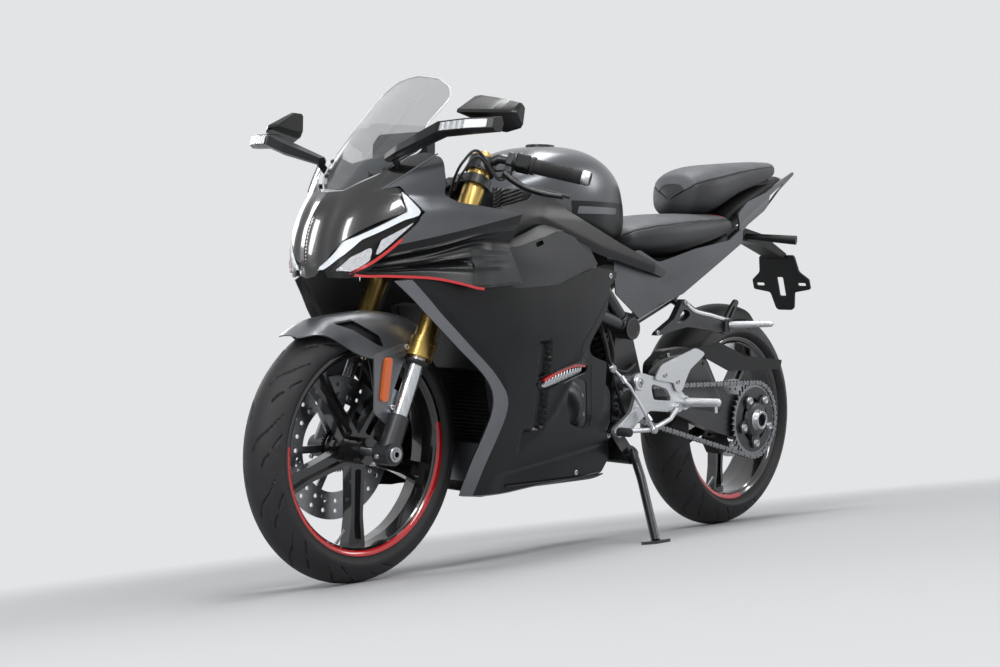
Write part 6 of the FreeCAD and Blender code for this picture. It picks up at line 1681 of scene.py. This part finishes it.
# %% Pillion hangers and pegs
HANGER = [(-858, 538, 8), (-954, 588, 12), (-994, 641, 12), (-1046, 616, 14), (-1197, 592, 10), (-1210, 574, 8),
          (-1182, 551, 8), (-1014, 567, 24), (-954, 557, 24)]
SLOT = [(-960, 574, 6), (-1000, 616, 8), (-1030, 600, 10), (-1000, 582, 10)]
hanger = plate(HANGER, 146, 164, [SLOT], 12)
hook = plate([(-1186, 584, 4), (-1212, 576, 4), (-1256, 634, 6), (-1240, 642, 8), (-1222, 626, 10)], 152, 160,
             [[(-1202, 588, 2), (-1212, 586, 2), (-1240, 626, 3), (-1232, 626, 3)]], 9)
clevis = turned([(-17, 0.01), (-17, 12), (17, 12), (17, 0.01)], (-1192, 166, 570), (0, 0, 1), 28)
post = pipe([(-998, 152, 622), (-998, 114, 640)], 9, 6, 16)
rests_rear = make("forged_pillion_hangers", "chassis", black_powder, pair(hanger, hook, clevis, post),
                  bevel=2.2, segments=3)
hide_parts("pillion_footrests")
face_line = [(-1008, 165, 627), (-1046, 165, 608), (-1120, 165, 597), (-1184, 165, 586)]
make("hanger_machined_faces", "chassis", blasted_alloy, pair(strip_on(face_line, 9.0, 2.0)))
make("pillion_pegs", "chassis", blasted_alloy,
     pair(knurled((-1192, 176, 572), (-1224, 292, 579), 9.5, 7.5, 24, 10)))
make("hanger_bolts", "chassis", zinc_steel,
     pair(bolt((-882, 164, 552), radius=6.5, height=4), bolt((-1000, 164, 630), radius=6.5, height=4),
          bolt((-1192, 166, 587), (0, 0, 1), 5.5, 4)))

# %% [markdown]
# The frame's ends are open tubes: a ring shows each rim, and a dark disc at the mouth is painted shade
# for the hollow. Weld beads join the tubes, and hoses run down the pivot plate. The shock absorber's
# spring is a wire carried along a helix.

# %% Frame ends, welds, hoses and spring
BOSS_X, BOSS_Z = -805, 562
BOSS_RIM, BOSS_SHADE_DISC = [(145, 19), (147, 21), (147, 27.5), (144, 28.5), (138, 28.5)], [(146.2, 19.4), (146.2, 0.01)]
make("frame_boss_rims", "chassis", black_powder, pair(turned(BOSS_RIM, (BOSS_X, 0, BOSS_Z), count=48)))
# Painted shade: a dark disc flush in each open tube end stands for the dark hollow inside.
make("frame_boss_painted_hollow_shade", "chassis", hose_rubber, pair(turned(BOSS_SHADE_DISC, (BOSS_X, 0, BOSS_Z), count=40)))
WELD_BEAD = [(-3, 17.5), (-1.5, 19.6), (1.5, 19.6), (3, 17.5)]
welds = [turned(WELD_BEAD, spot, axis, 30) for spot, axis in (((-770, 129, 575), (-0.98, -0.1, -0.24)),
                                                              ((-772, 129, 590), (-0.75, -0.1, -0.65)))]
make("frame_weld_beads", "chassis", dark_steel, pair(*welds))
PIVOT_CAP = [(112, 0.01), (112, 22), (121, 22), (123, 20), (123, 15), (119, 14), (119, 0.01)]
make("pivot_caps", "chassis", cast_black, pair(turned(PIVOT_CAP, (-880, 0, 385), count=40)))
hoses = [pipe([(-742, 116, 560), (-752, 128, 500), (-748, 132, 440), (-776, 134, 380), (-800, 140, 320)], 4, 60, 10),
         pipe([(-720, 110, 570), (-728, 122, 520), (-744, 128, 470), (-800, 126, 452), (-850, 118, 470)], 5, 60, 10)]
make("frame_hoses", "chassis", hose_rubber, pair(*hoses))
CLIP = [(-5, 4.4), (-5, 6.2), (5, 6.2), (5, 4.4)]
make("hose_clips", "chassis", zinc_steel,
     pair(turned(CLIP, (-749, 130, 462), (0, 0, 1), 20), turned(CLIP, (-744, 128, 470), (-0.6, 0, -0.6), 20)))
coil_top, coil_low = np.array((-826.0, 0, 550)), np.array((-898.0, 0, 459))
COIL_RADIUS, COIL_WIRE, COILS, COIL_STEPS = 33.5, 5.2, 6.5, 260
coil_turn = np.linspace(0, 2 * np.pi * COILS, COIL_STEPS)[:, None]
coil_run = coil_low - coil_top
one, two = np.cross(unit(coil_run), (0, 1, 0)), np.array((0, 1.0, 0))
coil_path = (coil_top + coil_run * np.linspace(0, 1, COIL_STEPS)[:, None]
             + COIL_RADIUS * (np.cos(coil_turn) * one + np.sin(coil_turn) * two))
make("shock_spring", "chassis", black_powder, [carried(circle(COIL_WIRE, 10), coil_path)])

# %% [markdown]
# Between the fork and the side panels the radiator shows: thin metal fins, blackened and folded like
# a concertina, so one sheet with a sawtooth depth stands for them. A shroud below keeps mud off, and a
# turned ring ends the silencer.

# %% Radiator fins, shroud and silencer mouth
FIN_PITCH, CORE_TURN = 9.0, math.radians(14)
fin_low = np.arange(-126, 118, FIN_PITCH)
fin_height = np.stack([fin_low, fin_low + 0.8 * FIN_PITCH], 1).ravel()
fin_depth = np.tile([17.0, 22.0], len(fin_low))
fin_x = -326 + fin_depth * math.cos(CORE_TURN) + fin_height * math.sin(CORE_TURN)
fin_z = 350 - fin_depth * math.sin(CORE_TURN) + fin_height * math.cos(CORE_TURN)
fin_y = np.array([-122.0, 0.0, 122.0])
fins_grid = np.stack(np.broadcast_arrays(fin_x[:, None], fin_y[None, :], fin_z[:, None]), 2)
make("radiator_fins", "chassis", dark_steel, [thick(surface(fins_grid), (-1, 0, 0))])
SHROUD = [(-90, 296, 10), (90, 296, 10), (100, 280, 8), (84, 204, 14), (-84, 204, 14), (-100, 280, 8)]
make("radiator_shroud", "chassis", pale_graphite_paint,
     [sheet(SHROUD, lambda y, z: -304 - 0.10 * (296 - z) - 0.0009 * y * y, -3, 9, plane="front")], bevel=0.8)
make("shroud_bolts", "chassis", zinc_steel, pair(bolt((-318.5, 62, 218), (1, 0, 0.1), 6, 4)))
MOUTH = [(-4, 25.0), (3, 24.0), (5, 25.5), (5, 28.5), (3, 30.0), (-4, 30.0), (-4, 25.0)]
make("silencer_mouth_ring", "chassis", blasted_alloy, [turned(MOUTH, (-1080, -179, 277), (-1, 0, 0), 60)])

# %% [markdown]
# The CAD pieces whose shape is already the real one stay as they are. Each gets the finish that the
# real piece has: anodised gold for the fork's tubes, hard chrome for its sliders, powder coat on the
# frame, and satin plastic on the large panels. The front mudguard's paler graphite is painted light,
# a lit copy of the panels' graphite paint.

# %% Finishes of the CAD pieces
FINISHES = (
    (wheel_black_paint, "front_rim rear_rim"),
    (drilled_steel, "front_disc rear_disc"),
    (chain_steel, "rear_sprocket chain"),
    (zinc_steel, "front_axle"),
    (gold_anodised, "fork_outer_tubes"),
    (hard_chrome, "fork_sliders"),
    (cast_black, "fork_feet steering_yoke hand_controls front_caliper rear_caliper radiator swingarm "
                 "pillion_footrests filler_cap"),
    (black_powder, "clip_on_bars main_frame rear_subframe side_stand fairing_stay"),
    (grip_rubber, "grips"),
    # Painted light: the front mudguard gets the paler graphite, a lit copy of its graphite paint, for the strong
    # light on it.
    (pale_graphite_paint, "front_mudguard chain_guard"),
    (amber_reflector, "mudguard_reflectors"),
    (cast_grey, "engine"),
    (exhaust_steel, "exhaust"),
    (grained_black, "rear_hugger belly_pan tail_centre plate_hanger rider_seat pillion_seat"),
    (dark_steel, "shock_absorber"),
    (blasted_alloy, "rider_footrests foot_pedals vent_fins"),
    (graphite_paint, "fuel_tank tail_fairing mirrors upper_fairings"),
    (panel_black, "tank_shoulders side_fairings dash winglets"),
    (carbon_look, "side_infill_panels"),
    (smoked_screen, "windscreen"),
    (red_lens, "tail_light"),
    (nose_black_paint, "nose_cowl"),
    (clear_lens, "headlights"),
    (tyre_rubber, "front_tyre rear_tyre"),
)
for material, nodes in FINISHES:
    for node in nodes.split():
        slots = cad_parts[node].data.materials
        slots.clear()
        slots.append(material)
print(sum(len(nodes.split()) for _, nodes in FINISHES), "CAD finishes on", len(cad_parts), "nodes")
